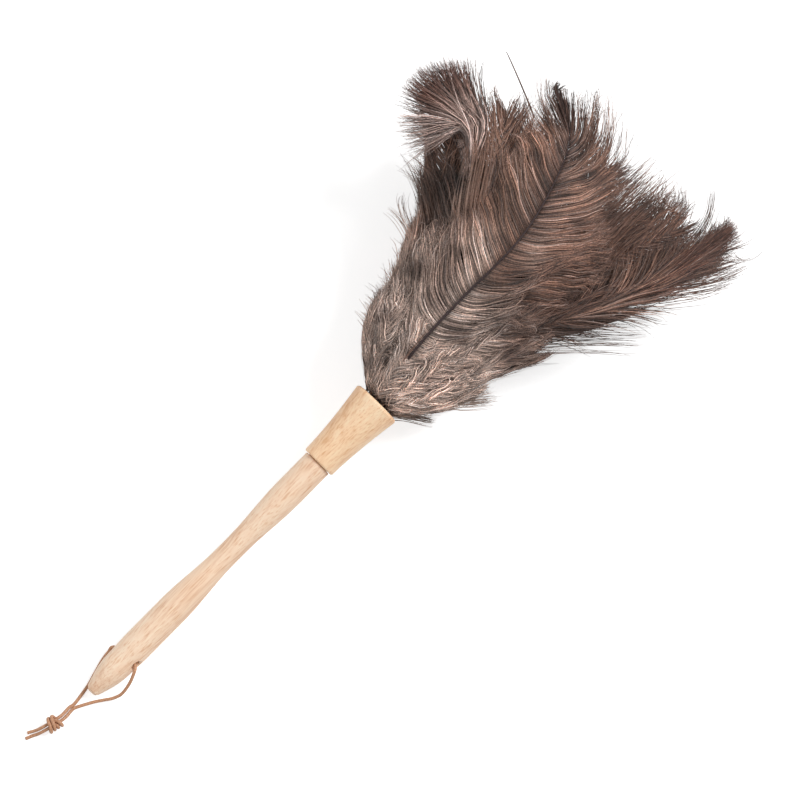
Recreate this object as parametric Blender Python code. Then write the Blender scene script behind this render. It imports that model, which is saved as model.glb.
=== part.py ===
"""Ostrich feather duster, lying on a table.

A turned wooden handle with a leather hanging lace, a flared wooden collar, and a head of plumes tied in
rings round a core dowel. Metres, +Z up. +X runs from the butt of the handle to the feather tips and the
table is the plane z = 0.
"""

import math
import random

import bmesh
import bpy
from mathutils import Vector

# Handle, turned in one piece; distances along it start at the butt
HANDLE_LENGTH = 0.2095
SWELL_RADIUS = 0.0105
WAIST_RADIUS = 0.0077
NECK_RADIUS = 0.0102
NOSE_RADIUS = 0.0041
NOSE_ROUND_RADIUS = 0.0018
BUTT_RADIUS = 0.0099
BUTT_TAPER_END = 0.0260
SWELL_START = 0.0420
SWELL_END = 0.0755
WAIST_START = 0.1225
WAIST_END = 0.1355
NECK_START = 0.1815
SHOULDER_CHAMFER = 0.0006
TENON_RADIUS = 0.0080
TENON_LENGTH = 0.0220
TENON_CHAMFER = 0.0010
HANDLE_STATION_SPACING = 0.0095
BUTT_SPACING_SHARE = 0.5
HANDLE_SEGMENTS = 28
HANDLE_TILT = math.radians(8.5)

# Cross-hole for the lace, near the butt
LACE_HOLE_FROM_BUTT = 0.0330
LACE_HOLE_RADIUS = 0.00325
LACE_HOLE_EASE = 0.0009
LACE_HOLE_ROLL = math.radians(25.0)
LACE_HOLE_SEGMENTS = 20

# Lace: a round leather thong through the cross-hole, its two halves tied together in an overhand knot
LACE_DIAMETER = 0.0022
LACE_RUN_PER_POINT = 0.0100
LACE_BEND_PER_POINT = math.radians(40.0)
LACE_STEPS_PER_POINT = 12

# The lace's route from the middle of the hole, with its origin on the table under the tip of the butt
LEFT_LACE_POINTS = (
    (0.0326, 0.00014, 0.01144),
    (0.0325, 0.0030, 0.0101),
    (0.0322, 0.0062, 0.0086),
    (0.0313, 0.0093, 0.0070),
    (0.0293, 0.0111, 0.0058),
    (0.0263, 0.0105, 0.0048),
    (0.0225, 0.0101, 0.0041),
    (0.0180, 0.0092, 0.0032),
    (0.0130, 0.0078, 0.0023),
    (0.0080, 0.0064, 0.0017),
    (0.0020, 0.0046, 0.0012),
    (-0.0059, 0.0032, 0.00115),
)
RIGHT_LACE_POINTS = (
    (0.0326, -0.00014, 0.01156),
    (0.0325, -0.0030, 0.0130),
    (0.0323, -0.0061, 0.0144),
    (0.0309, -0.0091, 0.0157),
    (0.0276, -0.0112, 0.0156),
    (0.0208, -0.0139, 0.0115),
    (0.0129, -0.0150, 0.0071),
    (0.0071, -0.0131, 0.0040),
    (0.0015, -0.0092, 0.0022),
    (-0.0040, -0.0055, 0.0014),
)

# Overhand knot of both halves: towards the tails, to the left and up, from the knot's own centre. The pair
# runs in through the middle, turns once and a half round itself and runs out through the middle.
KNOT_PLACE = (-0.0310, 0.0032, 0.0055)
KNOT_TURN = math.radians(14.0)
LEFT_KNOT_POINTS = (
    (-0.0176, 0.0035, -0.0043),
    (-0.0137, 0.0033, -0.0043),
    (-0.0097, 0.0021, -0.0034),
    (-0.0066, 0.0014, -0.0020),
    (-0.0035, 0.0013, -0.0013),
    (-0.0004, 0.0013, -0.0013),
    (0.0015, 0.0008, -0.0015),
    (0.0030, -0.0007, -0.0018),
    (0.0037, -0.0023, -0.0019),
    (0.0041, -0.0037, -0.0010),
    (0.0040, -0.0044, 0.0010),
    (0.0034, -0.0031, 0.0033),
    (0.0026, 0.0000, 0.0043),
    (0.0020, 0.0032, 0.0032),
    (0.0013, 0.0043, 0.0000),
    (0.0007, 0.0032, -0.0032),
    (0.0000, 0.0001, -0.0043),
    (-0.0006, -0.0025, -0.0036),
    (-0.0012, -0.0041, -0.0015),
    (-0.0014, -0.0041, 0.0003),
    (-0.0012, -0.0029, 0.0014),
    (-0.0007, -0.0018, 0.0014),
    (0.0004, -0.0013, 0.0013),
    (0.0037, -0.0013, 0.0013),
    (0.0077, -0.0012, 0.0004),
    (0.0121, -0.0008, -0.0024),
    (0.0160, 0.0001, -0.0042),
    (0.0205, 0.0008, -0.0043),
)
RIGHT_KNOT_POINTS = (
    (-0.0172, 0.0010, -0.0043),
    (-0.0137, 0.0007, -0.0043),
    (-0.0097, -0.0006, -0.0034),
    (-0.0066, -0.0012, -0.0020),
    (-0.0035, -0.0013, -0.0013),
    (-0.0004, -0.0013, -0.0013),
    (0.0007, -0.0018, -0.0014),
    (0.0012, -0.0029, -0.0014),
    (0.0014, -0.0041, -0.0003),
    (0.0012, -0.0041, 0.0015),
    (0.0006, -0.0025, 0.0036),
    (0.0000, 0.0001, 0.0043),
    (-0.0007, 0.0032, 0.0032),
    (-0.0013, 0.0043, 0.0000),
    (-0.0020, 0.0032, -0.0032),
    (-0.0026, 0.0000, -0.0043),
    (-0.0034, -0.0031, -0.0033),
    (-0.0040, -0.0044, -0.0010),
    (-0.0041, -0.0037, 0.0010),
    (-0.0037, -0.0023, 0.0019),
    (-0.0030, -0.0007, 0.0018),
    (-0.0015, 0.0008, 0.0015),
    (0.0004, 0.0013, 0.0013),
    (0.0037, 0.0013, 0.0013),
    (0.0077, 0.0014, 0.0004),
    (0.0121, 0.0019, -0.0024),
    (0.0155, 0.0029, -0.0042),
    (0.0176, 0.0034, -0.0043),
)

# Core dowel, glued into the tenon
DOWEL_RADIUS = 0.0040
DOWEL_DEPTH_IN_TENON = 0.0165
DOWEL_BEHIND_MOUTH = 0.0050
DOWEL_CHAMFER = 0.0008
DOWEL_SEGMENTS = 20

# Clearances
SEAT_GAP = 0.0003
BINDING_GAP = 0.0005
TABLE_GAP = 0.0016
CUT_OVERRUN = 0.0040
MERGE_DISTANCE = 0.00001

# Quills, in three rings: distances are behind the collar's mouth
LONG_QUILL_RADIUS = 0.00085
SHORT_QUILL_RADIUS = 0.00075
INNER_QUILL_START = 0.0300
MIDDLE_QUILL_START = 0.0250
OUTER_QUILL_START = 0.0138

# Bindings: thread wound round each ring of quills
THREAD_RADIUS = 0.00035
THREAD_PITCH = 0.00125
THREAD_TURNS = 4
THREAD_POINTS_PER_TURN = 16
INNER_BINDING_START = 0.0290
MIDDLE_BINDING_START = 0.0235
OUTER_BINDING_START = 0.0125

# Rings and bindings from the dowel outwards
INNER_RING_RADIUS = DOWEL_RADIUS + SEAT_GAP + LONG_QUILL_RADIUS
INNER_BINDING_RADIUS = INNER_RING_RADIUS + LONG_QUILL_RADIUS + SEAT_GAP + THREAD_RADIUS
MIDDLE_RING_RADIUS = INNER_BINDING_RADIUS + THREAD_RADIUS + SEAT_GAP + LONG_QUILL_RADIUS
MIDDLE_BINDING_RADIUS = MIDDLE_RING_RADIUS + LONG_QUILL_RADIUS + SEAT_GAP + THREAD_RADIUS
OUTER_RING_RADIUS = MIDDLE_BINDING_RADIUS + THREAD_RADIUS + SEAT_GAP + SHORT_QUILL_RADIUS
OUTER_BINDING_RADIUS = OUTER_RING_RADIUS + SHORT_QUILL_RADIUS + SEAT_GAP + THREAD_RADIUS

# Collar, turned and bored right through; depths inside it start at its mouth
COLLAR_LENGTH = 0.0557
COLLAR_REAR_RADIUS = 0.0123
COLLAR_MOUTH_RADIUS = 0.0173
COLLAR_REAR_ROUND_RADIUS = 0.0014
COLLAR_LIP_ROUND_RADIUS = 0.0020
COLLAR_INNER_ROUND_RADIUS = 0.0008
COLLAR_FLARE_POWER = 1.6
FRONT_CHAMBER_RADIUS = OUTER_BINDING_RADIUS + THREAD_RADIUS + BINDING_GAP
FRONT_CHAMBER_DEPTH = 0.0150
MIDDLE_CHAMBER_RADIUS = MIDDLE_BINDING_RADIUS + THREAD_RADIUS + BINDING_GAP
MIDDLE_CHAMBER_DEPTH = 0.0320
COLLAR_FLARE_STATIONS = 9
ROUND_STEPS = 4
COLLAR_SEGMENTS = 36
STICK_LENGTH = HANDLE_LENGTH + COLLAR_LENGTH

# Outer form of the head, measured forward from the collar's mouth
HEAD_LENGTH = 0.2400
BASE_FLARE_REACH = 0.0140
BASE_FLARE_LEFT = 0.0130
BASE_FLARE_RIGHT = 0.0110
BASE_FLARE_TOP = 0.0110
SPREAD_EASE = 0.0060
SPREAD_LEFT = 0.1370
SPREAD_RIGHT = 0.0910
SPREAD_TOP = 0.0460
TOP_ROUNDING_SHARE = 0.6
TOP_DROOP_START_SHARE = 0.45
TOP_DROOP_SHARE = 0.42
CENTRE_RISE = 0.0160
CENTRE_DROOP = 0.0160
UNDERSIDE_REACH = 0.0300
UNDERSIDE_POWER = 1.3
UNDERSIDE_FLAT_SHARE = 0.5
AXIS_LEVELLING_REACH = 0.0300
LEVEL_BLEND_REACH = 0.0250
BUNDLE_RADIUS = FRONT_CHAMBER_RADIUS - SEAT_GAP

# Plume blades
RIDGE_THICKNESS = 0.0020
VANE_THICKNESS = 0.0010
TIP_THICKNESS_SHARE = 0.55
EDGE_SWEEP = 0.0080
LOCK_SWEEP = 0.0030
LOCK_NOTCH_SHARE = 0.24
VANE_DROOP_SHARE = 0.03
SHINGLE_SHARE = 0.046
SHINGLE_OVERLAP_SHARE = 1.13
LENGTH_VARIATION_SHARE = 0.035
TURN_VARIATION = math.radians(1.5)
DIFFERENCE_STEP = 0.0005
QUILL_TO_VANE_SHARE = 0.22
BEND_SHARES = (0.0, 0.3, 0.62, 1.0)
SEED = 11

# Lengths are reaches forward of the mouth; half widths are those of the vane
SKIRT_LENGTH = 0.0570
SKIRT_HALF_WIDTH = 0.0155
SHORT_LENGTH = 0.1060
SHORT_HALF_WIDTH = 0.0205
MIDDLE_LENGTH = 0.1760
MIDDLE_HALF_WIDTH = 0.0270
LONG_LENGTH = 0.2320
LONG_HALF_WIDTH = 0.0290
CORE_LENGTH = 0.2200
CORE_HALF_WIDTH = 0.0290
HEART_LENGTH = 0.2050
HEART_HALF_WIDTH = 0.0290
LONG_VANE_START = 0.0420
MIDDLE_VANE_START = 0.0300
SHORT_VANE_START = 0.0200
SKIRT_VANE_START = 0.0080
HERO_VANE_START = 0.0480
HERO_LENGTH = 0.2270
HERO_HALF_WIDTH = 0.0300
LEFT_TUFT_LENGTH = 0.1780
LEFT_TUFT_HALF_WIDTH = 0.0250
RIGHT_TUFT_LENGTH = 0.2360
RIGHT_TUFT_HALF_WIDTH = 0.0260

# Width of a vane against the way along the feather
VANE_WIDTH_SHARES = (
    (0.0, 0.0), (0.12, 0.3), (0.3, 0.72), (0.55, 1.0), (0.8, 1.0), (0.93, 0.8), (1.0, 0.34),
)
HERO_WIDTH_SHARES = (
    (0.0, 0.0), (0.12, 0.3), (0.3, 0.72), (0.55, 1.0), (0.75, 0.92), (0.87, 0.5), (1.0, 0.2),
)

# How far out from the heart of the head each layer lies, against the reach as a share of the head's length
SKIRT_LEVEL_SHARES = ((0.0, 0.85), (0.06, 0.93), (0.12, 1.0), (0.3, 1.0))
SHORT_LEVEL_SHARES = ((0.0, 0.63), (0.1, 0.8), (0.25, 0.87), (0.5, 0.98))
MIDDLE_LEVEL_SHARES = (
    (0.0, 0.63), (0.1, 0.6), (0.25, 0.64), (0.44, 0.73), (0.54, 0.84), (0.65, 0.9), (0.8, 0.92),
)
LONG_LEVEL_SHARES = (
    (0.0, 0.4), (0.1, 0.44), (0.25, 0.48), (0.45, 0.56), (0.7, 0.74), (0.88, 0.88), (1.0, 0.9),
)
CORE_LEVEL_SHARES = ((0.0, 0.4), (0.1, 0.34), (0.25, 0.34), (0.45, 0.4), (0.7, 0.52), (1.0, 0.66))
HEART_LEVEL_SHARES = ((0.0, 0.4), (0.1, 0.24), (0.25, 0.2), (0.45, 0.22), (0.7, 0.26), (1.0, 0.34))
HERO_LEVEL_SHARES = (
    (0.0, 0.63), (0.1, 0.8), (0.26, 0.92), (0.38, 1.03), (0.56, 1.0), (0.8, 1.0), (1.0, 0.98),
)
TUFT_LEVEL_SHARES = (
    (0.0, 0.63), (0.1, 0.68), (0.25, 0.755), (0.42, 0.84), (0.6, 1.0), (0.75, 1.04), (1.0, 1.04),
)

# Farthest reach of the plumes against their place from right (-1) to left (+1)
REACH_LIMIT_SHARES = ((-1.0, 0.9), (-0.8, 1.0), (0.25, 1.0), (0.45, 0.88), (0.75, 0.77), (1.0, 0.71))

# Turn round the head, in degrees from the top towards the left, against the reach as a share
HERO_TURNS = ((0.0, 9.0), (0.2, 9.0), (0.5, 5.0), (0.78, 10.0), (0.87, 13.5), (0.91, 18.0), (0.95, 24.5))
LEFT_TUFT_TURNS = ((0.0, 36.0), (0.45, 33.0), (0.6, 38.0), (0.68, 52.0), (0.76, 72.0))
RIGHT_TUFT_TURNS = ((0.0, -48.0), (0.4, -52.0), (0.7, -54.0), (1.0, -50.0))


def clear_scene():
    for item in list(bpy.data.objects):
        bpy.data.objects.remove(item, do_unlink=True)


def make_material(name, colour, roughness):
    material = bpy.data.materials.new(name)
    material.use_nodes = True
    shader = material.node_tree.nodes["Principled BSDF"]
    shader.inputs["Base Color"].default_value = (*colour, 1.0)
    shader.inputs["Roughness"].default_value = roughness
    shader.inputs["Metallic"].default_value = 0.0
    material.diffuse_color = (*colour, 1.0)
    return material


def add_empty(name, parent=None):
    empty = bpy.data.objects.new(name, None)
    bpy.context.scene.collection.objects.link(empty)
    empty.parent = parent
    return empty


def add_mesh_object(name, bm, parent, material):
    """Make the bmesh an object with smooth, outward-facing sides."""
    bmesh.ops.recalc_face_normals(bm, faces=bm.faces)
    mesh = bpy.data.meshes.new(name)
    bm.to_mesh(mesh)
    bm.free()
    mesh.shade_smooth()
    mesh.set_sharp_from_angle(angle=math.radians(35.0))
    item = bpy.data.objects.new(name, mesh)
    bpy.context.scene.collection.objects.link(item)
    item.parent = parent
    mesh.materials.append(material)
    return item


def add_tube(name, points, radius, resolution, parent, material):
    """Make a tube with closed ends along a line of points."""
    curve = bpy.data.curves.new(name, "CURVE")
    curve.dimensions = "3D"
    curve.bevel_depth = radius
    curve.bevel_resolution = resolution
    curve.use_fill_caps = True
    spline = curve.splines.new("POLY")
    spline.points.add(len(points) - 1)
    for place, point in zip(spline.points, points):
        place.co = (*point, 1.0)
    curve.materials.append(material)
    item = bpy.data.objects.new(name, curve)
    bpy.context.scene.collection.objects.link(item)
    item.parent = parent
    return item


def ease(share):
    """Smooth step from 0 to 1."""
    share = min(max(share, 0.0), 1.0)
    return share * share * (3.0 - 2.0 * share)


def read_shares(table, place):
    """Read the smooth curve through a table's points."""
    if place <= table[0][0]:
        return table[0][1]
    if place >= table[-1][0]:
        return table[-1][1]
    index = 0
    while table[index + 1][0] < place:
        index += 1
    left = table[index]
    right = table[index + 1]
    before = table[max(index - 1, 0)]
    after = table[min(index + 2, len(table) - 1)]
    span = right[0] - left[0]
    share = (place - left[0]) / span
    slope_left = (right[1] - before[1]) / (right[0] - before[0]) * span
    slope_right = (after[1] - left[1]) / (after[0] - left[0]) * span
    square = share ** 2
    cube = share ** 3
    return (
        (2 * cube - 3 * square + 1) * left[1]
        + (cube - 2 * square + share) * slope_left
        + (3 * square - 2 * cube) * right[1]
        + (cube - square) * slope_right
    )


def quarter_round(centre, size, start, end):
    """Points of a quarter round in a turned profile, as (distance, radius)."""
    points = []
    for step in range(ROUND_STEPS + 1):
        angle = math.radians(start + (end - start) * step / ROUND_STEPS)
        points.append((centre[0] + size * math.cos(angle), centre[1] + size * math.sin(angle)))
    return points


def turned(name, profile, segments, closed, parent, material):
    """Spin a profile of (distance, radius) points about the X axis.

    An open profile starts and ends on the axis; a closed one goes round the wall of a tube.
    """
    bm = bmesh.new()
    verts = [bm.verts.new((distance, 0.0, radius)) for distance, radius in profile]
    edges = [bm.edges.new(pair) for pair in zip(verts, verts[1:])]
    if closed:
        edges.append(bm.edges.new((verts[-1], verts[0])))
    bmesh.ops.spin(
        bm,
        geom=verts + edges,
        cent=(0.0, 0.0, 0.0),
        axis=(1.0, 0.0, 0.0),
        angle=math.tau,
        steps=segments,
        use_duplicate=False,
    )
    bmesh.ops.remove_doubles(bm, verts=bm.verts, dist=MERGE_DISTANCE)
    return add_mesh_object(name, bm, parent, material)


def handle_radius(distance):
    """The handle's outer radius at a distance from the tip of the butt."""
    if distance < BUTT_TAPER_END:
        taper = math.sin(distance / BUTT_TAPER_END * math.pi / 2)
        return NOSE_RADIUS + (BUTT_RADIUS - NOSE_RADIUS) * taper
    if distance < SWELL_END:
        share = ease((distance - BUTT_TAPER_END) / (SWELL_START - BUTT_TAPER_END))
        return BUTT_RADIUS + (SWELL_RADIUS - BUTT_RADIUS) * share
    if distance < WAIST_START:
        share = ease((distance - SWELL_END) / (WAIST_START - SWELL_END))
        return SWELL_RADIUS + (WAIST_RADIUS - SWELL_RADIUS) * share
    share = ease((distance - WAIST_END) / (NECK_START - WAIST_END))
    return WAIST_RADIUS + (NECK_RADIUS - WAIST_RADIUS) * share


def handle_distances():
    """Stations along the handle, closer together on the short taper of the butt."""
    distances = []
    distance = NOSE_ROUND_RADIUS
    while distance < HANDLE_LENGTH - HANDLE_STATION_SPACING:
        distances.append(distance)
        on_butt = distance < BUTT_TAPER_END
        distance += HANDLE_STATION_SPACING * (BUTT_SPACING_SHARE if on_butt else 1.0)
    return distances


def make_handle(stick, material):
    butt = -STICK_LENGTH
    shoulder = butt + HANDLE_LENGTH
    tenon_end = shoulder + TENON_LENGTH
    bore_radius = DOWEL_RADIUS + SEAT_GAP
    bore_end = tenon_end - DOWEL_DEPTH_IN_TENON - SEAT_GAP
    profile = [(butt, 0.0)]
    nose_centre = (butt + NOSE_ROUND_RADIUS, NOSE_RADIUS - NOSE_ROUND_RADIUS)
    profile += quarter_round(nose_centre, NOSE_ROUND_RADIUS, 180.0, 90.0)[:-1]
    profile += [(butt + distance, handle_radius(distance)) for distance in handle_distances()]
    profile += [
        (shoulder - SHOULDER_CHAMFER, NECK_RADIUS),
        (shoulder, NECK_RADIUS - SHOULDER_CHAMFER),
        (shoulder, TENON_RADIUS),
        (tenon_end - TENON_CHAMFER, TENON_RADIUS),
        (tenon_end, TENON_RADIUS - TENON_CHAMFER),
        (tenon_end, bore_radius),
        (bore_end, bore_radius),
        (bore_end, 0.0),
    ]
    handle = turned("handle", profile, HANDLE_SEGMENTS, False, stick, material)

    # The drill's cutter widens where it leaves the wood, so the lace has an eased edge to bend over
    half = SWELL_RADIUS + CUT_OVERRUN
    mouth = handle_radius(LACE_HOLE_FROM_BUTT) * math.cos(LACE_HOLE_RADIUS / SWELL_RADIUS)
    flare = LACE_HOLE_RADIUS + half - mouth + LACE_HOLE_EASE
    cutter = turned(
        "lace_hole_cutter",
        [
            (-half, 0.0),
            (-half, flare),
            (-mouth + LACE_HOLE_EASE, LACE_HOLE_RADIUS),
            (mouth - LACE_HOLE_EASE, LACE_HOLE_RADIUS),
            (half, flare),
            (half, 0.0),
        ],
        LACE_HOLE_SEGMENTS,
        False,
        stick,
        material,
    )
    cutter.location.x = butt + LACE_HOLE_FROM_BUTT
    cutter.rotation_mode = "ZYX"
    cutter.rotation_euler = (-LACE_HOLE_ROLL, 0.0, math.radians(90.0))
    cutter.hide_render = True
    cutter.display_type = "WIRE"
    cut = handle.modifiers.new("lace_hole", "BOOLEAN")
    cut.operation = "DIFFERENCE"
    cut.object = cutter
    return handle


def make_dowel(stick, material):
    start = -COLLAR_LENGTH + TENON_LENGTH - DOWEL_DEPTH_IN_TENON
    end = -DOWEL_BEHIND_MOUTH
    profile = [
        (start, 0.0),
        (start, DOWEL_RADIUS - DOWEL_CHAMFER),
        (start + DOWEL_CHAMFER, DOWEL_RADIUS),
        (end - DOWEL_CHAMFER, DOWEL_RADIUS),
        (end, DOWEL_RADIUS - DOWEL_CHAMFER),
        (end, 0.0),
    ]
    return turned("core_dowel", profile, DOWEL_SEGMENTS, False, stick, material)


def make_collar(stick, material):
    rear = -COLLAR_LENGTH + SEAT_GAP
    bore_radius = TENON_RADIUS + SEAT_GAP
    profile = [(rear, bore_radius)]
    rear_centre = (rear + COLLAR_REAR_ROUND_RADIUS, COLLAR_REAR_RADIUS - COLLAR_REAR_ROUND_RADIUS)
    profile += quarter_round(rear_centre, COLLAR_REAR_ROUND_RADIUS, 180.0, 90.0)
    flare_length = -COLLAR_LIP_ROUND_RADIUS - rear_centre[0]
    for station in range(1, COLLAR_FLARE_STATIONS):
        share = station / COLLAR_FLARE_STATIONS
        growth = (COLLAR_MOUTH_RADIUS - COLLAR_REAR_RADIUS) * share ** COLLAR_FLARE_POWER
        profile.append((rear_centre[0] + flare_length * share, COLLAR_REAR_RADIUS + growth))
    lip_centre = (-COLLAR_LIP_ROUND_RADIUS, COLLAR_MOUTH_RADIUS - COLLAR_LIP_ROUND_RADIUS)
    profile += quarter_round(lip_centre, COLLAR_LIP_ROUND_RADIUS, 90.0, 0.0)
    inner_centre = (-COLLAR_INNER_ROUND_RADIUS, FRONT_CHAMBER_RADIUS + COLLAR_INNER_ROUND_RADIUS)
    profile += quarter_round(inner_centre, COLLAR_INNER_ROUND_RADIUS, 0.0, -90.0)
    profile += [
        (-FRONT_CHAMBER_DEPTH, FRONT_CHAMBER_RADIUS),
        (-FRONT_CHAMBER_DEPTH, MIDDLE_CHAMBER_RADIUS),
        (-MIDDLE_CHAMBER_DEPTH, MIDDLE_CHAMBER_RADIUS),
        (-MIDDLE_CHAMBER_DEPTH, bore_radius),
    ]
    return turned("collar", profile, COLLAR_SEGMENTS, True, stick, material)


def make_binding(name, radius, start, stick, material):
    """A thread wound round a ring of quills, as one helix about the stick."""
    points = []
    for index in range(THREAD_TURNS * THREAD_POINTS_PER_TURN + 1):
        turn = index / THREAD_POINTS_PER_TURN
        angle = turn * math.tau
        along = turn * THREAD_PITCH - start
        points.append(Vector((along, radius * math.sin(angle), radius * math.cos(angle))))
    least = min(
        (points[i] - points[j]).length
        for i in range(len(points))
        for j in range(i + THREAD_POINTS_PER_TURN // 2, len(points))
    )
    print(f"{name}: least gap between turns {least - 2 * THREAD_RADIUS:.5f} m")
    return add_tube(name, points, THREAD_RADIUS, 1, stick, material)


def mouth_height():
    """Height of the collar's mouth when the handle rests on the table at its lowest point."""
    drop = [
        (STICK_LENGTH - distance) * math.sin(HANDLE_TILT) + handle_radius(distance) * math.cos(HANDLE_TILT)
        for distance in handle_distances()
    ]
    return max(drop)


MOUTH_HEIGHT = mouth_height()


def flare(reach, base_flare, spread):
    """Half width of the head on one side."""
    out = max(reach, 0.0)
    eased = math.hypot(out, SPREAD_EASE) - SPREAD_EASE
    base = base_flare * (1.0 - math.exp(-((out / BASE_FLARE_REACH) ** 2)))
    return BUNDLE_RADIUS + base + spread * eased / HEAD_LENGTH


def droop_share(reach):
    """How far the plumes have bent down under their own weight, from 0 to 1 at their tips."""
    return ease((reach / HEAD_LENGTH - TOP_DROOP_START_SHARE) / (1.0 - TOP_DROOP_START_SHARE))


def head_centre(reach):
    """Centre of the head's cross-section: on the stick's axis at first, then bending level."""
    if reach <= 0:
        return Vector((reach * math.cos(HANDLE_TILT), 0.0, MOUTH_HEIGHT + reach * math.sin(HANDLE_TILT)))
    rise = CENTRE_RISE * (1.0 - math.exp(-reach * math.tan(HANDLE_TILT) / CENTRE_RISE))
    droop = CENTRE_DROOP * droop_share(reach)
    return Vector((reach, 0.0, MOUTH_HEIGHT + rise - droop))


def underside_depth(reach):
    """How far the head reaches below its centre: down to the table, soon after the mouth."""
    if reach <= 0:
        return BUNDLE_RADIUS
    left = math.exp(-((reach / UNDERSIDE_REACH) ** UNDERSIDE_POWER))
    bottom = TABLE_GAP + (MOUTH_HEIGHT - BUNDLE_RADIUS - TABLE_GAP) * left
    return head_centre(reach).z - bottom


def underside_shape(reach, below):
    """Flatten the lower half where it lies on the table."""
    flat = UNDERSIDE_FLAT_SHARE * ease(reach / AXIS_LEVELLING_REACH)
    return (1.0 - flat) * below + flat * math.sin(below * math.pi / 2)


def head_point(reach, level, turn):
    """Point in the head: level 0 is its heart and 1 its outside, turn goes from the top to the left."""
    centre = head_centre(reach)
    tilt = HANDLE_TILT * (1.0 - ease(reach / AXIS_LEVELLING_REACH))
    upward = Vector((-math.sin(tilt), 0.0, math.cos(tilt)))
    aside = level * math.sin(turn)
    above = level * math.cos(turn)
    if aside > 0:
        width = flare(reach, BASE_FLARE_LEFT, SPREAD_LEFT)
    else:
        width = flare(reach, BASE_FLARE_RIGHT, SPREAD_RIGHT)
    if above > 0:
        rounding = 1.0 + TOP_ROUNDING_SHARE * (1.0 - max(reach, 0.0) / HEAD_LENGTH)
        height = above * flare(reach, BASE_FLARE_TOP, SPREAD_TOP * rounding)
        height *= 1.0 - TOP_DROOP_SHARE * droop_share(reach)
    else:
        height = -underside_depth(reach) * underside_shape(reach, -above)
    return centre + Vector((0.0, width * aside, 0.0)) + upward * height


def head_slopes(reach, level, turn):
    """How a point of a layer moves for a metre of reach and for a radian of turn."""
    here = head_point(reach, level, turn)
    along = (head_point(reach + DIFFERENCE_STEP, level, turn) - here) / DIFFERENCE_STEP
    angle_step = DIFFERENCE_STEP / BUNDLE_RADIUS
    across = (head_point(reach, level, turn + angle_step) - here) / angle_step
    return along, across


def smooth_line(points, steps):
    """Points along the smooth curve through a route's own points."""
    ends = [points[0] * 2 - points[1]] + list(points) + [points[-1] * 2 - points[-2]]
    line = []
    for before, left, right, after in zip(ends, ends[1:], ends[2:], ends[3:]):
        for step in range(steps):
            share = step / steps
            line.append(
                (
                    left * 2
                    + (right - before) * share
                    + (before * 2 - left * 5 + right * 4 - after) * share ** 2
                    + (left * 3 - before - right * 3 + after) * share ** 3
                )
                / 2
            )
    line.append(points[-1])
    return line


def line_tangents(line):
    following = line[1:] + [line[-1] * 2 - line[-2]]
    before = [line[0] * 2 - line[1]] + line[:-1]
    return [(right - left).normalized() for left, right in zip(before, following)]


def thin_line(line, run, bend):
    """Keep the points that a tube needs: more where the line bends, fewer where it runs straight."""
    tangents = line_tangents(line)
    travelled = [0.0]
    for index in range(1, len(line)):
        straight = (line[index] - line[index - 1]).length / run
        turned_share = tangents[index].angle(tangents[index - 1]) / bend
        travelled.append(travelled[-1] + straight + turned_share)
    count = math.ceil(travelled[-1])
    kept = []
    index = 0
    for number in range(count + 1):
        wanted = travelled[-1] * number / count
        while index < len(line) - 2 and travelled[index + 1] < wanted:
            index += 1
        share = (wanted - travelled[index]) / (travelled[index + 1] - travelled[index])
        kept.append(line[index].lerp(line[index + 1], min(share, 1.0)))
    return kept


def place_in_knot(point):
    """From the knot's own directions to the table: towards the tails is -X and left is +Y."""
    turned_x = -point.x * math.cos(KNOT_TURN) + point.y * math.sin(KNOT_TURN)
    turned_y = point.x * math.sin(KNOT_TURN) + point.y * math.cos(KNOT_TURN)
    return Vector((turned_x, turned_y, point.z)) + Vector(KNOT_PLACE)


def make_lace(root, material):
    """Two unbroken halves that meet in the middle of the cross-hole."""
    butt = Vector((-STICK_LENGTH * math.cos(HANDLE_TILT), 0.0, 0.0))
    halves = []
    for name, route, knot in (
        ("lace_left", LEFT_LACE_POINTS, LEFT_KNOT_POINTS),
        ("lace_right", RIGHT_LACE_POINTS, RIGHT_KNOT_POINTS),
    ):
        points = [Vector(point) for point in route] + [place_in_knot(Vector(point)) for point in knot]
        line = smooth_line(points, LACE_STEPS_PER_POINT)
        kept = [butt + point for point in thin_line(line, LACE_RUN_PER_POINT, LACE_BEND_PER_POINT)]
        length = sum((right - left).length for left, right in zip(line, line[1:]))
        low = min(point.z for point in kept) - LACE_DIAMETER / 2
        print(f"{name}: {len(kept)} points, {length:.4f} m long, lowest at {low:.5f} m")
        halves.append(add_tube(name, kept, LACE_DIAMETER / 2, 2, root, material))
    return halves


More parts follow.
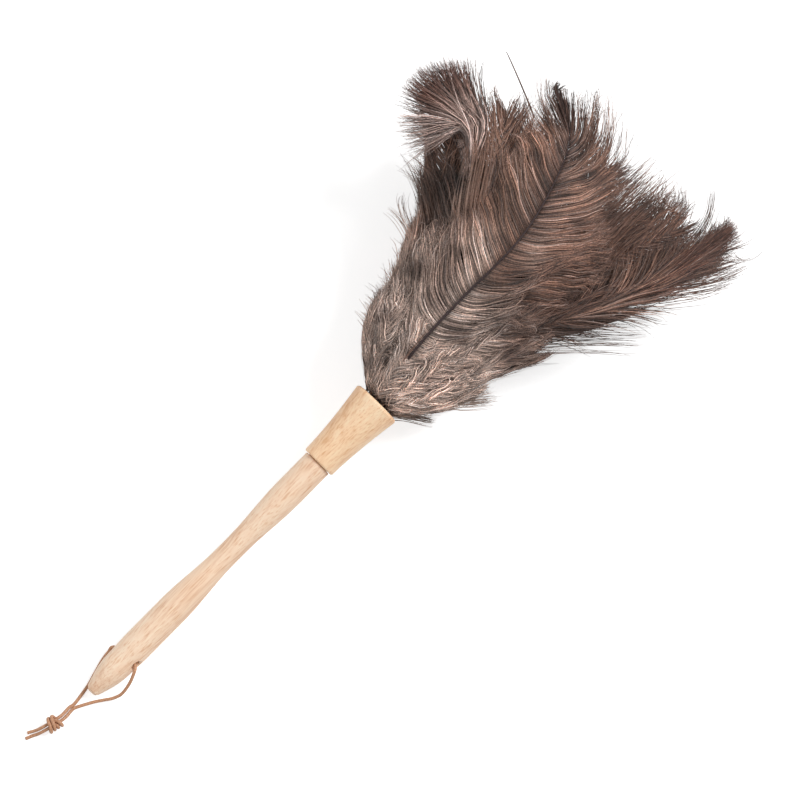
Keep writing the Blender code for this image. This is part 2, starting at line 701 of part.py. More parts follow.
class Plume:
    """One feather: where its quill stands in its ring, how it runs through the head, and its vane."""

    def __init__(self, name, turn, length, vane, levels, seat, stations, turns=None):
        self.name = name
        self.turn = turn
        self.length = length
        self.vane_start, self.half_width = vane
        self.levels = levels
        self.ring, self.start, self.quill = seat
        self.stations = stations
        self.turns = turns
        self.width_shares = VANE_WIDTH_SHARES
        self.slot_turn = turn
        self.turn_room = math.pi
        self.shingle = 0.0

    def turn_at(self, reach):
        """The quill leaves its slot in the ring and swings to the plume's own place in the head."""
        own = math.radians(read_shares(self.turns, reach / HEAD_LENGTH)) if self.turns else self.turn
        return self.slot_turn + (own - self.slot_turn) * ease(reach / LEVEL_BLEND_REACH)

    def level_at(self, reach):
        ring_level = self.ring / BUNDLE_RADIUS
        own = read_shares(self.levels, reach / HEAD_LENGTH)
        return ring_level + (own - ring_level) * ease(reach / LEVEL_BLEND_REACH)

    def spine(self, reach):
        return head_point(reach, self.level_at(reach), self.turn_at(reach))

    def reaches(self):
        """Stations along the plume: the bare quill, the bend at the mouth, then the vane."""
        bend = min(self.vane_start, LEVEL_BLEND_REACH)
        places = [-self.start] + [bend * share for share in BEND_SHARES]
        for station in range(1, self.stations + 1):
            places.append(bend + (self.length - bend) * station / self.stations)
        return places


def ring_of_blade(plume, reach, lock):
    """Six points round the plume: left edge, three on top, right edge and the keel below.

    The vane is wide where it has a lock of barbs and narrower in the notch between two locks.
    """
    way = (reach - plume.vane_start) / (plume.length - plume.vane_start)
    level = plume.level_at(reach)
    turn = plume.turn_at(reach)
    along, across = head_slopes(reach, level, turn)
    normal = along.cross(across).normalized()
    middle = plume.spine(reach)
    forward = (plume.spine(reach + DIFFERENCE_STEP) - middle).normalized()
    side = normal.cross(forward).normalized()

    # The side direction in terms of reach and turn, so that the vane stays in its layer
    shear = along.dot(across)
    scale = along.length_squared * across.length_squared - shear ** 2
    reach_rate = (side.dot(along) * across.length_squared - side.dot(across) * shear) / scale
    turn_rate = (side.dot(across) * along.length_squared - side.dot(along) * shear) / scale

    open_vane = read_shares(plume.width_shares, way)
    width = plume.half_width * open_vane * (1.0 if lock else 1.0 - LOCK_NOTCH_SHARE)
    width = min(width, plume.turn_room / abs(turn_rate))
    sweep = (EDGE_SWEEP + (LOCK_SWEEP if lock else -LOCK_SWEEP)) * open_vane
    thin = 1.0 + (TIP_THICKNESS_SHARE - 1.0) * max(way, 0.0)

    def on_vane(share, lift):
        offset = width * share
        place = head_point(
            reach + reach_rate * offset + sweep * abs(share),
            level + (plume.shingle * share - VANE_DROOP_SHARE * share ** 2) * open_vane,
            turn + turn_rate * offset,
        )
        return place + normal * lift

    ridge = RIDGE_THICKNESS * thin / 2
    skin = VANE_THICKNESS * thin / 2
    blade = [
        on_vane(-1.0, 0.0),
        on_vane(-0.5, skin),
        on_vane(0.0, ridge),
        on_vane(0.5, skin),
        on_vane(1.0, 0.0),
        on_vane(0.0, -skin),
    ]
    quill = []
    for angle in (180.0, 120.0, 90.0, 60.0, 0.0, -90.0):
        out = side * -math.cos(math.radians(180.0 - angle)) + normal * math.sin(math.radians(angle))
        quill.append(middle + out * (plume.quill * thin))
    opening = ease(open_vane / QUILL_TO_VANE_SHARE)
    return [round_point.lerp(flat_point, opening) for round_point, flat_point in zip(quill, blade)]


def make_plume(plume, parent, material):
    bm = bmesh.new()
    rings = []
    reaches = plume.reaches()
    for index, reach in enumerate(reaches):
        lock = index % 2 == 1 or index == len(reaches) - 1
        rings.append([bm.verts.new(point) for point in ring_of_blade(plume, reach, lock)])
    for first, second in zip(rings, rings[1:]):
        for index in range(len(first)):
            following = (index + 1) % len(first)
            bm.faces.new((first[index], first[following], second[following], second[index]))
    bm.faces.new(list(reversed(rings[0])))
    bm.faces.new(rings[-1])
    bmesh.ops.triangulate(bm, faces=bm.faces)
    return add_mesh_object(plume.name, bm, parent, material)


def family(name, turns, length, vane, levels, seat, stations, chance):
    """A layer of like plumes, side by side round the head."""
    plumes = []
    for index, degrees in enumerate(turns):
        turn = math.radians(degrees) + chance.uniform(-TURN_VARIATION, TURN_VARIATION)
        limit = HEAD_LENGTH * read_shares(REACH_LIMIT_SHARES, levels[-1][1] * math.sin(turn))
        own_share = 1.0 + chance.uniform(-LENGTH_VARIATION_SHARE, LENGTH_VARIATION_SHARE)
        own_length = min(length, limit) * own_share
        plume = Plume(f"{name}_{index + 1:02d}", turn, own_length, vane, levels, seat, stations)
        plume.turn_room = SHINGLE_OVERLAP_SHARE * math.pi / len(turns)
        plume.shingle = SHINGLE_SHARE
        plumes.append(plume)
    return plumes


def evenly(count, first, arc=360.0):
    """Turns in degrees, evenly round an arc of the head and between -180 and 180."""
    return [(first + arc * index / count + 180.0) % 360.0 - 180.0 for index in range(count)]


def share_ring(plumes):
    """Give the quills of one ring evenly spaced slots in the order of their plumes."""
    ordered = sorted(plumes, key=lambda plume: plume.turn)
    step = math.tau / len(ordered)
    middle = sum(plume.turn - index * step for index, plume in enumerate(ordered)) / len(ordered)
    for index, plume in enumerate(ordered):
        plume.slot_turn = middle + index * step


def plan_plumes():
    chance = random.Random(SEED)
    inner = (INNER_RING_RADIUS, INNER_QUILL_START, LONG_QUILL_RADIUS)
    middle = (MIDDLE_RING_RADIUS, MIDDLE_QUILL_START, LONG_QUILL_RADIUS)
    fluffy = (MIDDLE_RING_RADIUS, MIDDLE_QUILL_START, SHORT_QUILL_RADIUS)
    outer = (OUTER_RING_RADIUS, OUTER_QUILL_START, SHORT_QUILL_RADIUS)
    heart_vane = (LONG_VANE_START, HEART_HALF_WIDTH)
    core_vane = (LONG_VANE_START, CORE_HALF_WIDTH)
    long_vane = (LONG_VANE_START, LONG_HALF_WIDTH)
    middle_vane = (MIDDLE_VANE_START, MIDDLE_HALF_WIDTH)
    short_vane = (SHORT_VANE_START, SHORT_HALF_WIDTH)
    skirt_vane = (SKIRT_VANE_START, SKIRT_HALF_WIDTH)
    layers = [
        ("heart_plume", evenly(3, 75.0), HEART_LENGTH, heart_vane, HEART_LEVEL_SHARES, inner, 10),
        ("core_plume", evenly(4, 40.0), CORE_LENGTH, core_vane, CORE_LEVEL_SHARES, inner, 11),
        ("long_plume", evenly(9, 0.0), LONG_LENGTH, long_vane, LONG_LEVEL_SHARES, inner, 13),
        ("middle_plume", evenly(9, -20.0), MIDDLE_LENGTH, middle_vane, MIDDLE_LEVEL_SHARES, middle, 12),
        ("short_plume", evenly(11, 40.0, 320.0), SHORT_LENGTH, short_vane, SHORT_LEVEL_SHARES, fluffy, 8),
        ("skirt_plume", evenly(12, 12.0), SKIRT_LENGTH, skirt_vane, SKIRT_LEVEL_SHARES, outer, 6),
    ]
    plumes = []
    for layer in layers:
        plumes += family(*layer, chance)
    hero_vane = (HERO_VANE_START, HERO_HALF_WIDTH)
    left_vane = (MIDDLE_VANE_START, LEFT_TUFT_HALF_WIDTH)
    right_vane = (MIDDLE_VANE_START, RIGHT_TUFT_HALF_WIDTH)
    for name, turns, length, vane, levels in (
        ("hero_plume", HERO_TURNS, HERO_LENGTH, hero_vane, HERO_LEVEL_SHARES),
        ("left_tuft", LEFT_TUFT_TURNS, LEFT_TUFT_LENGTH, left_vane, TUFT_LEVEL_SHARES),
        ("right_tuft", RIGHT_TUFT_TURNS, RIGHT_TUFT_LENGTH, right_vane, TUFT_LEVEL_SHARES),
    ):
        plumes.append(Plume(name, math.radians(turns[0][1]), length, vane, levels, middle, 20, turns))
        if name == "hero_plume":
            plumes[-1].width_shares = HERO_WIDTH_SHARES
    for ring in (INNER_RING_RADIUS, MIDDLE_RING_RADIUS, OUTER_RING_RADIUS):
        share_ring([plume for plume in plumes if plume.ring == ring])
    return plumes


def settle_on_origin(root, pieces):
    """Move everything so that the middle of the rigid pieces' base is at the origin."""
    bpy.context.view_layer.update()
    graph = bpy.context.evaluated_depsgraph_get()
    corners = []
    for piece in pieces:
        evaluated = piece.evaluated_get(graph)
        mesh = evaluated.to_mesh()
        corners += [evaluated.matrix_world @ vertex.co for vertex in mesh.vertices]
        evaluated.to_mesh_clear()
    low = [min(corner[axis] for corner in corners) for axis in range(3)]
    high = [max(corner[axis] for corner in corners) for axis in range(3)]
    root.location = (-(low[0] + high[0]) / 2, -(low[1] + high[1]) / 2, -low[2])
    print("head and handle measure", [round(high[axis] - low[axis], 4) for axis in range(3)])
    print("shift", [round(value, 5) for value in root.location])


def main():
    clear_scene()
    handle_wood = make_material("handle_wood", (0.90, 0.72, 0.53), 0.5)
    collar_wood = make_material("collar_wood", (0.88, 0.62, 0.38), 0.45)
    dowel_wood = make_material("dowel_wood", (0.80, 0.62, 0.42), 0.6)
    thread = make_material("thread", (0.72, 0.66, 0.55), 0.8)
    root = add_empty("duster")
    stick = add_empty("stick_axis", root)
    stick.location.z = MOUTH_HEIGHT
    stick.rotation_euler.y = -HANDLE_TILT
    pieces = [
        make_handle(stick, handle_wood),
        make_dowel(stick, dowel_wood),
        make_collar(stick, collar_wood),
        make_binding("inner_binding", INNER_BINDING_RADIUS, INNER_BINDING_START, stick, thread),
        make_binding("middle_binding", MIDDLE_BINDING_RADIUS, MIDDLE_BINDING_START, stick, thread),
        make_binding("outer_binding", OUTER_BINDING_RADIUS, OUTER_BINDING_START, stick, thread),
    ]
    for plume in plan_plumes():
        feather = make_material(plume.name, (0.36, 0.29, 0.25), 0.85)
        pieces.append(make_plume(plume, root, feather))
    settle_on_origin(root, pieces)
    make_lace(root, make_material("lace_leather", (0.62, 0.38, 0.24), 0.6))


main()
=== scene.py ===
"""Looks of the ostrich feather duster: barbs, quills, wood, leather, floor, light and camera."""
import math
import random
from collections import namedtuple

import bpy
import numpy as np
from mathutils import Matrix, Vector


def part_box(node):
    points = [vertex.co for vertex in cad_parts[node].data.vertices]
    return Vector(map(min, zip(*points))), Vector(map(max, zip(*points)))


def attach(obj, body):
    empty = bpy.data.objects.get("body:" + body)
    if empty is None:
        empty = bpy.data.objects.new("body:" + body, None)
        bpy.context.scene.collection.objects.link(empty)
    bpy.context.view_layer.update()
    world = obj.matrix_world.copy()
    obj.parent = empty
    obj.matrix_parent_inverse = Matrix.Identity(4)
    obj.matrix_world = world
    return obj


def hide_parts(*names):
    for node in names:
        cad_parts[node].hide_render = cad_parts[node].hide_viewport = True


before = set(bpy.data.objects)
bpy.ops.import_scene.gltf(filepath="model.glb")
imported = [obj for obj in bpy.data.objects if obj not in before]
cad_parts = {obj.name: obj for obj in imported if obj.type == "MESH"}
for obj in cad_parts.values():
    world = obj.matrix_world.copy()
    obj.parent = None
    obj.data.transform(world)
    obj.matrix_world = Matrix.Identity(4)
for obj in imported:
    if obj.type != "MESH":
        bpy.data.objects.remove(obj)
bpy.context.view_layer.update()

# The stick's place. Lengths are in metres; the head's own frame starts under the collar's mouth.

HANDLE_TILT = math.radians(8.5)
STICK_LENGTH = 0.2652
NOSE_ROUND = 0.0018
NOSE_RADIUS = 0.0041
MOUTH_HEIGHT = 0.045635
HANDLE_LOW, HANDLE_HIGH = (Vector(corner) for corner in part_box("handle"))
BUTT_X = HANDLE_LOW.x + NOSE_ROUND + (NOSE_RADIUS - NOSE_ROUND) * math.sin(HANDLE_TILT)
SHIFT = Vector((
    BUTT_X + (STICK_LENGTH - NOSE_ROUND) * math.cos(HANDLE_TILT),
    (HANDLE_LOW.y + HANDLE_HIGH.y) / 2,
    0.0,
))

# Camera: nearly straight down, square to the stick, which runs up to the right

CAMERA_PLACE = (-0.24848, -0.01961, 1.40235)
CAMERA_LEAN = math.radians(-11.268)
CAMERA_TURN = math.radians(-45.3106)
CAMERA_LENS = 94.54
SENSOR = 36.0


def make_camera():
    data = bpy.data.cameras.new("camera")
    data.lens = CAMERA_LENS
    data.sensor_width = SENSOR
    data.clip_start = 0.05
    data.clip_end = 10.0
    camera = bpy.data.objects.new("camera", data)
    camera.location = CAMERA_PLACE
    camera.rotation_mode = "ZYX"
    camera.rotation_euler = (0.0, CAMERA_LEAN, CAMERA_TURN)
    bpy.context.scene.collection.objects.link(camera)
    bpy.context.scene.camera = camera


# Small tools


def linear(red, green, blue):
    """A colour written in 0 to 255, as a shader takes it."""
    shares = (red / 255.0, green / 255.0, blue / 255.0)
    return tuple(s / 12.92 if s <= 0.04045 else ((s + 0.055) / 1.055) ** 2.4 for s in shares)


def ease(share):
    """Smooth step from 0 to 1."""
    share = np.clip(share, 0.0, 1.0)
    return share * share * (3.0 - 2.0 * share)


def mix(first, second, share):
    return first * (1.0 - share) + second * share


def read_shares(table, place):
    """The smooth curve through a table's points, for an array of places."""
    table = np.array(table)
    xs, ys = table[:, 0], table[:, 1]
    place = np.clip(np.asarray(place, float), xs[0], xs[-1])
    index = np.clip(np.searchsorted(xs, place, side="left") - 1, 0, len(xs) - 2)
    before = np.maximum(index - 1, 0)
    after = np.minimum(index + 2, len(xs) - 1)
    span = xs[index + 1] - xs[index]
    share = (place - xs[index]) / span
    slope_left = (ys[index + 1] - ys[before]) / (xs[index + 1] - xs[before]) * span
    slope_right = (ys[after] - ys[index]) / (xs[after] - xs[index]) * span
    square, cube = share ** 2, share ** 3
    return (
        (2 * cube - 3 * square + 1) * ys[index]
        + (cube - 2 * square + share) * slope_left
        + (3 * square - 2 * cube) * ys[index + 1]
        + (cube - square) * slope_right
    )


def unit(vectors):
    return vectors / np.maximum(np.linalg.norm(vectors, axis=-1, keepdims=True), 1e-12)


def smooth_line(points, steps):
    """Points along the smooth curve through a route's points."""
    points = np.array(points, float)
    ends = np.vstack([2 * points[0] - points[1], points, 2 * points[-1] - points[-2]])
    line = []
    for i in range(len(points) - 1):
        before, left, right, after = ends[i:i + 4]
        for step in range(steps):
            t = step / steps
            line.append(0.5 * (
                2 * left + (right - before) * t + (2 * before - 5 * left + 4 * right - after) * t ** 2
                + (3 * left - before - 3 * right + after) * t ** 3
            ))
    line.append(points[-1])
    return np.array(line)


def line_frames(line):
    """Sideways and upward directions along a line, carried without twisting."""
    tangent = unit(np.gradient(line, axis=0))
    side = np.zeros_like(line)
    side[0] = unit(np.cross(tangent[0], (0.0, 0.0, 1.0)))
    for i in range(1, len(line)):
        side[i] = unit(side[i - 1] - tangent[i] * np.dot(side[i - 1], tangent[i]))
    return side, np.cross(side, tangent)


# Mesh builders


def new_mesh_object(name, verts, faces_by_size, point_colours=None, uv=None, smooth=True):
    """A mesh from arrays: faces_by_size is a list of index arrays, one for each number of corners."""
    mesh = bpy.data.meshes.new(name)
    loops = np.concatenate([faces.ravel() for faces in faces_by_size]).astype(np.int32)
    totals = np.concatenate([np.full(len(faces), faces.shape[1], np.int32) for faces in faces_by_size])
    starts = np.concatenate([[0], np.cumsum(totals)[:-1]]).astype(np.int32)
    mesh.vertices.add(len(verts))
    mesh.vertices.foreach_set("co", np.asarray(verts, np.float32).ravel())
    mesh.loops.add(len(loops))
    mesh.loops.foreach_set("vertex_index", loops)
    mesh.polygons.add(len(totals))
    mesh.polygons.foreach_set("loop_start", starts)
    mesh.polygons.foreach_set("loop_total", totals)
    mesh.polygons.foreach_set("use_smooth", np.full(len(totals), smooth, bool))
    if point_colours is not None:
        layer = mesh.attributes.new("paint", "FLOAT_COLOR", "POINT")
        layer.data.foreach_set("color", np.asarray(point_colours, np.float32).ravel())
    if uv is not None:
        layer = mesh.uv_layers.new(name="OFBake")
        layer.data.foreach_set("uv", np.asarray(uv, np.float32).ravel())
    mesh.update(calc_edges=True)
    mesh.validate()
    item = bpy.data.objects.new(name, mesh)
    bpy.context.scene.collection.objects.link(item)
    return item


def tube_arrays(line, radius, sides):
    """Rings of points along a line and the faces between them, closed at both ends."""
    side, up = line_frames(line)
    angle = np.linspace(0.0, math.tau, sides, endpoint=False)[None, :]
    radius = radius[:, None]
    ring = (
        line[:, None, :]
        + side[:, None, :] * (np.cos(angle) * radius)[..., None]
        + up[:, None, :] * (np.sin(angle) * radius)[..., None]
    )
    verts = ring.reshape(-1, 3)
    rows = np.arange(len(line) - 1)[:, None] * sides
    column = np.arange(sides)[None, :]
    following = (column + 1) % sides
    quads = np.stack(
        [rows + column, rows + sides + column, rows + sides + following, rows + following], axis=-1
    ).reshape(-1, 4)
    first = np.arange(sides)[None, :]
    last = (len(line) - 1) * sides + np.arange(sides)[::-1][None, :]
    return verts, quads, [first, last]


# The outer form of the head, as in the part

HEAD_LENGTH = 0.2400
BUNDLE_RADIUS = 0.0130
BASE_FLARE_REACH = 0.0140
BASE_FLARE_LEFT = 0.0130
BASE_FLARE_RIGHT = 0.0110
BASE_FLARE_TOP = 0.0110
SPREAD_EASE = 0.0060
SPREAD_LEFT = 0.1370
SPREAD_RIGHT = 0.0910
SPREAD_TOP = 0.0460
TOP_ROUNDING_SHARE = 0.6
TOP_DROOP_START_SHARE = 0.45
TOP_DROOP_SHARE = 0.42
CENTRE_RISE = 0.0160
CENTRE_DROOP = 0.0160
UNDERSIDE_REACH = 0.0300
UNDERSIDE_POWER = 1.3
UNDERSIDE_FLAT_SHARE = 0.5
AXIS_LEVELLING_REACH = 0.0300
LEVEL_BLEND_REACH = 0.0250
TABLE_GAP = 0.0016
VANE_DROOP_SHARE = 0.03
SHINGLE_SHARE = 0.046
LENGTH_VARIATION_SHARE = 0.035
TURN_VARIATION = math.radians(1.5)
SEED = 11
STEP = 0.0005

INNER_RING_RADIUS = 0.00515
MIDDLE_RING_RADIUS = 0.00815
OUTER_RING_RADIUS = 0.01105
LONG_QUILL = 0.00085
SHORT_QUILL = 0.00075

SKIRT_LEVEL_SHARES = ((0.0, 0.85), (0.06, 0.93), (0.12, 1.0), (0.3, 1.0))
SHORT_LEVEL_SHARES = ((0.0, 0.63), (0.1, 0.8), (0.25, 0.87), (0.5, 0.98))
MIDDLE_LEVEL_SHARES = (
    (0.0, 0.63), (0.1, 0.6), (0.25, 0.64), (0.44, 0.73), (0.54, 0.84), (0.65, 0.9), (0.8, 0.92),
)
LONG_LEVEL_SHARES = (
    (0.0, 0.4), (0.1, 0.44), (0.25, 0.48), (0.45, 0.56), (0.7, 0.74), (0.88, 0.88), (1.0, 0.9),
)
CORE_LEVEL_SHARES = ((0.0, 0.4), (0.1, 0.34), (0.25, 0.34), (0.45, 0.4), (0.7, 0.52), (1.0, 0.66))
HEART_LEVEL_SHARES = ((0.0, 0.4), (0.1, 0.24), (0.25, 0.2), (0.45, 0.22), (0.7, 0.26), (1.0, 0.34))
HERO_LEVEL_SHARES = (
    (0.0, 0.63), (0.1, 0.8), (0.26, 0.92), (0.38, 1.03), (0.56, 1.0), (0.8, 1.0), (1.0, 0.98),
)
TUFT_LEVEL_SHARES = (
    (0.0, 0.63), (0.1, 0.68), (0.25, 0.755), (0.42, 0.84), (0.6, 1.0), (0.75, 1.04), (1.0, 1.04),
)
REACH_LIMIT_SHARES = ((-1.0, 0.9), (-0.8, 1.0), (0.25, 1.0), (0.45, 0.88), (0.75, 0.77), (1.0, 0.71))
HERO_TURNS = ((0.0, 9.0), (0.2, 9.0), (0.5, 5.0), (0.78, 10.0), (0.87, 13.5), (0.91, 18.0), (0.95, 24.5))
LEFT_TUFT_TURNS = ((0.0, 36.0), (0.45, 33.0), (0.6, 38.0), (0.68, 52.0), (0.76, 72.0))
RIGHT_TUFT_TURNS = ((0.0, -48.0), (0.4, -52.0), (0.7, -54.0), (1.0, -50.0))


def flare(reach, base_flare, spread):
    """Half width of the head on one side."""
    out = np.maximum(reach, 0.0)
    eased = np.hypot(out, SPREAD_EASE) - SPREAD_EASE
    base = base_flare * (1.0 - np.exp(-((out / BASE_FLARE_REACH) ** 2)))
    return BUNDLE_RADIUS + base + spread * eased / HEAD_LENGTH


def droop_share(reach):
    """How far the plumes have bent down under their own weight, from 0 to 1 at their tips."""
    return ease((reach / HEAD_LENGTH - TOP_DROOP_START_SHARE) / (1.0 - TOP_DROOP_START_SHARE))


def centre_height(reach):
    """Height of the head's centre: on the stick's axis at first, then bending level."""
    out = np.maximum(reach, 0.0)
    rise = CENTRE_RISE * (1.0 - np.exp(-out * math.tan(HANDLE_TILT) / CENTRE_RISE))
    ahead = rise - CENTRE_DROOP * droop_share(reach)
    return MOUTH_HEIGHT + np.where(reach <= 0, reach * math.sin(HANDLE_TILT), ahead)


def head_point(reach, level, turn):
    """Points in the head: level 0 is its heart and 1 its outside, turn goes from the top to the left."""
    reach, level, turn = np.broadcast_arrays(reach, level, turn)
    out = np.maximum(reach, 0.0)
    tilt = HANDLE_TILT * (1.0 - ease(reach / AXIS_LEVELLING_REACH))
    aside = level * np.sin(turn)
    above = level * np.cos(turn)
    width = np.where(
        aside > 0,
        flare(reach, BASE_FLARE_LEFT, SPREAD_LEFT),
        flare(reach, BASE_FLARE_RIGHT, SPREAD_RIGHT),
    )
    rounding = 1.0 + TOP_ROUNDING_SHARE * (1.0 - out / HEAD_LENGTH)
    top = above * flare(reach, BASE_FLARE_TOP, SPREAD_TOP * rounding)
    top = top * (1.0 - TOP_DROOP_SHARE * droop_share(reach))
    left = np.exp(-((out / UNDERSIDE_REACH) ** UNDERSIDE_POWER))
    bottom = TABLE_GAP + (MOUTH_HEIGHT - BUNDLE_RADIUS - TABLE_GAP) * left
    depth = np.where(reach <= 0, BUNDLE_RADIUS, centre_height(reach) - bottom)
    flat = UNDERSIDE_FLAT_SHARE * ease(reach / AXIS_LEVELLING_REACH)
    below = np.clip(-above, 0.0, 1.0)
    shape = (1.0 - flat) * below + flat * np.sin(below * math.pi / 2)
    height = np.where(above > 0, top, -depth * shape)
    x = np.where(reach <= 0, reach * math.cos(HANDLE_TILT), reach)
    return np.stack(
        [x - np.sin(tilt) * height, width * aside, centre_height(reach) + np.cos(tilt) * height], axis=-1
    )


def head_slopes(reach, level, turn):
    """Points in the head, and how they move for a metre of reach and for a radian of turn."""
    here = head_point(reach, level, turn)
    along = (head_point(reach + STEP, level, turn) - here) / STEP
    angle_step = STEP / BUNDLE_RADIUS
    across = (head_point(reach, level, turn + angle_step) - here) / angle_step
    return here, along, across


class Plume:
    """One feather: where its quill stands in its ring and how it runs through the head."""

    def __init__(self, name, turn, length, vane, levels, seat, turns=None):
        self.name = name
        self.turn = turn
        self.length = length
        self.vane_start, self.half_width = vane
        self.levels = levels
        self.ring, self.start, self.quill = seat
        self.turns = turns
        self.slot_turn = turn
        self.shingle = 0.0

    def turn_at(self, reach):
        own = np.radians(read_shares(self.turns, reach / HEAD_LENGTH)) if self.turns else self.turn
        return self.slot_turn + (own - self.slot_turn) * ease(reach / LEVEL_BLEND_REACH)

    def level_at(self, reach):
        ring_level = self.ring / BUNDLE_RADIUS
        own = read_shares(self.levels, reach / HEAD_LENGTH)
        return ring_level + (own - ring_level) * ease(reach / LEVEL_BLEND_REACH)

    def spine(self, reach):
        return head_point(reach, self.level_at(reach), self.turn_at(reach))

    def settle(self):
        """How a step to the side of the rachis changes reach and turn, all along the plume."""
        reach = np.linspace(0.0, self.length + 0.08, 240)
        _, along, across = head_slopes(reach, self.level_at(reach), self.turn_at(reach))
        normal = unit(np.cross(along, across))
        forward = unit(self.spine(reach + STEP) - self.spine(reach))
        side = unit(np.cross(normal, forward))
        shear = (along * across).sum(-1)
        along_square = (along ** 2).sum(-1)
        across_square = (across ** 2).sum(-1)
        side_along = (side * along).sum(-1)
        side_across = (side * across).sum(-1)
        scale = along_square * across_square - shear ** 2
        self.grid = reach
        self.reach_rate = (side_along * across_square - side_across * shear) / scale
        self.turn_rate = (side_across * along_square - side_along * shear) / scale

    def on_vane(self, reach, offset):
        """Reach, level and turn of points that lie offset metres to the left of the rachis."""
        share = np.clip(offset / self.half_width, -1.6, 1.6)
        level = self.level_at(reach) + self.shingle * share - VANE_DROOP_SHARE * share ** 2
        return (
            reach + np.interp(reach, self.grid, self.reach_rate) * offset,
            level,
            self.turn_at(reach) + np.interp(reach, self.grid, self.turn_rate) * offset,
        )


def family(name, turns, length, vane, levels, seat, chance):
    """A layer of like plumes, side by side round the head."""
    plumes = []
    for index, degrees in enumerate(turns):
        turn = math.radians(degrees) + chance.uniform(-TURN_VARIATION, TURN_VARIATION)
        limit = HEAD_LENGTH * float(read_shares(REACH_LIMIT_SHARES, levels[-1][1] * math.sin(turn)))
        own_share = 1.0 + chance.uniform(-LENGTH_VARIATION_SHARE, LENGTH_VARIATION_SHARE)
        plume = Plume(f"{name}_{index + 1:02d}", turn, min(length, limit) * own_share, vane, levels, seat)
        plume.shingle = SHINGLE_SHARE
        plumes.append(plume)
    return plumes


def evenly(count, first, arc=360.0):
    """Turns in degrees, evenly round an arc of the head and between -180 and 180."""
    return [(first + arc * index / count + 180.0) % 360.0 - 180.0 for index in range(count)]


def plan_plumes():
    """Every plume of the head, in its own slot of its ring."""
    chance = random.Random(SEED)
    inner = (INNER_RING_RADIUS, 0.0300, LONG_QUILL)
    middle = (MIDDLE_RING_RADIUS, 0.0250, LONG_QUILL)
    fluffy = (MIDDLE_RING_RADIUS, 0.0250, SHORT_QUILL)
    outer = (OUTER_RING_RADIUS, 0.0138, SHORT_QUILL)
    layers = (
        ("heart_plume", evenly(3, 75.0), 0.2050, (0.0420, 0.0290), HEART_LEVEL_SHARES, inner),
        ("core_plume", evenly(4, 40.0), 0.2200, (0.0420, 0.0290), CORE_LEVEL_SHARES, inner),
        ("long_plume", evenly(9, 0.0), 0.2320, (0.0420, 0.0290), LONG_LEVEL_SHARES, inner),
        ("middle_plume", evenly(9, -20.0), 0.1760, (0.0300, 0.0270), MIDDLE_LEVEL_SHARES, middle),
        ("short_plume", evenly(11, 40.0, 320.0), 0.1060, (0.0200, 0.0205), SHORT_LEVEL_SHARES, fluffy),
        ("skirt_plume", evenly(12, 12.0), 0.0570, (0.0080, 0.0155), SKIRT_LEVEL_SHARES, outer),
    )
    plumes = []
    for layer in layers:
        plumes += family(*layer, chance)
    for name, turns, length, vane, levels in (
        ("hero_plume", HERO_TURNS, 0.2270, (0.0480, 0.0300), HERO_LEVEL_SHARES),
        ("left_tuft", LEFT_TUFT_TURNS, 0.1780, (0.0300, 0.0250), TUFT_LEVEL_SHARES),
        ("right_tuft", RIGHT_TUFT_TURNS, 0.2360, (0.0300, 0.0260), TUFT_LEVEL_SHARES),
    ):
        plumes.append(Plume(name, math.radians(turns[0][1]), length, vane, levels, middle, turns))
    for ring in (INNER_RING_RADIUS, MIDDLE_RING_RADIUS, OUTER_RING_RADIUS):
        ordered = sorted((p for p in plumes if p.ring == ring), key=lambda plume: plume.turn)
        step = math.tau / len(ordered)
        middle_turn = sum(p.turn - index * step for index, p in enumerate(ordered)) / len(ordered)
        for index, plume in enumerate(ordered):
            plume.slot_turn = middle_turn + index * step
    for plume in plumes:
        plume.settle()
    return plumes


# Barbs: closed strands on each plume's own surface, in bundles of neighbours that bend alike

MM = 0.001
BEIGE = np.array(linear(211, 185, 171))
GREY = np.array(linear(158, 136, 128))
BROWN = np.array(linear(153, 117, 100))
RUST = np.array(linear(152, 112, 94))
DARK = np.array(linear(92, 69, 60))
# The next colour is painted shadow on the right tuft, not a colour of its own.
TUFT_SHADOW = np.array(linear(44, 36, 35))
BLUNT = np.array(linear(104, 70, 58))
HERO_DARK = np.array(linear(80, 60, 54))
HERO_SHAFT = np.array(linear(66, 50, 50))
TUFT_BASE = {"left_tuft": 1.5 * GREY, "right_tuft": 0.55 * BROWN + 0.45 * DARK}

# Points along a barb, and the shares of the vane between which the barbs' roots lie
POINTS = 12
VANE_LOW_SHARE = -0.08
SKIRT_VANE_LOW_SHARE = -0.14
VANE_HIGH_SHARE = 0.91
HERO_VANE_HIGH_SHARE = 0.99
TUFT_STEM_SHARE = 0.62
SHAFT_TAPER_SHARE = 0.78
LOOSE_SHARE = 0.035

# Space that the barbs keep to: in the part's frame, and above the table
LOW_LIMIT = np.array([-0.0100, -0.1265, 0.0])
HIGH_LIMIT = np.array([0.2765, 0.1265, 0.1215])
LIMIT_MARGIN = 0.004
LEAST_HEIGHT = 0.0005
LEAST_HEIGHT_SPREAD = 0.0010

# Barb length along the vane: way along it, share of the family's length
SIZE_SHARES = ((0.0, 0.12, 0.35, 0.75, 0.92, 1.0), (0.6, 0.8, 1.0, 1.0, 0.85, 0.7))

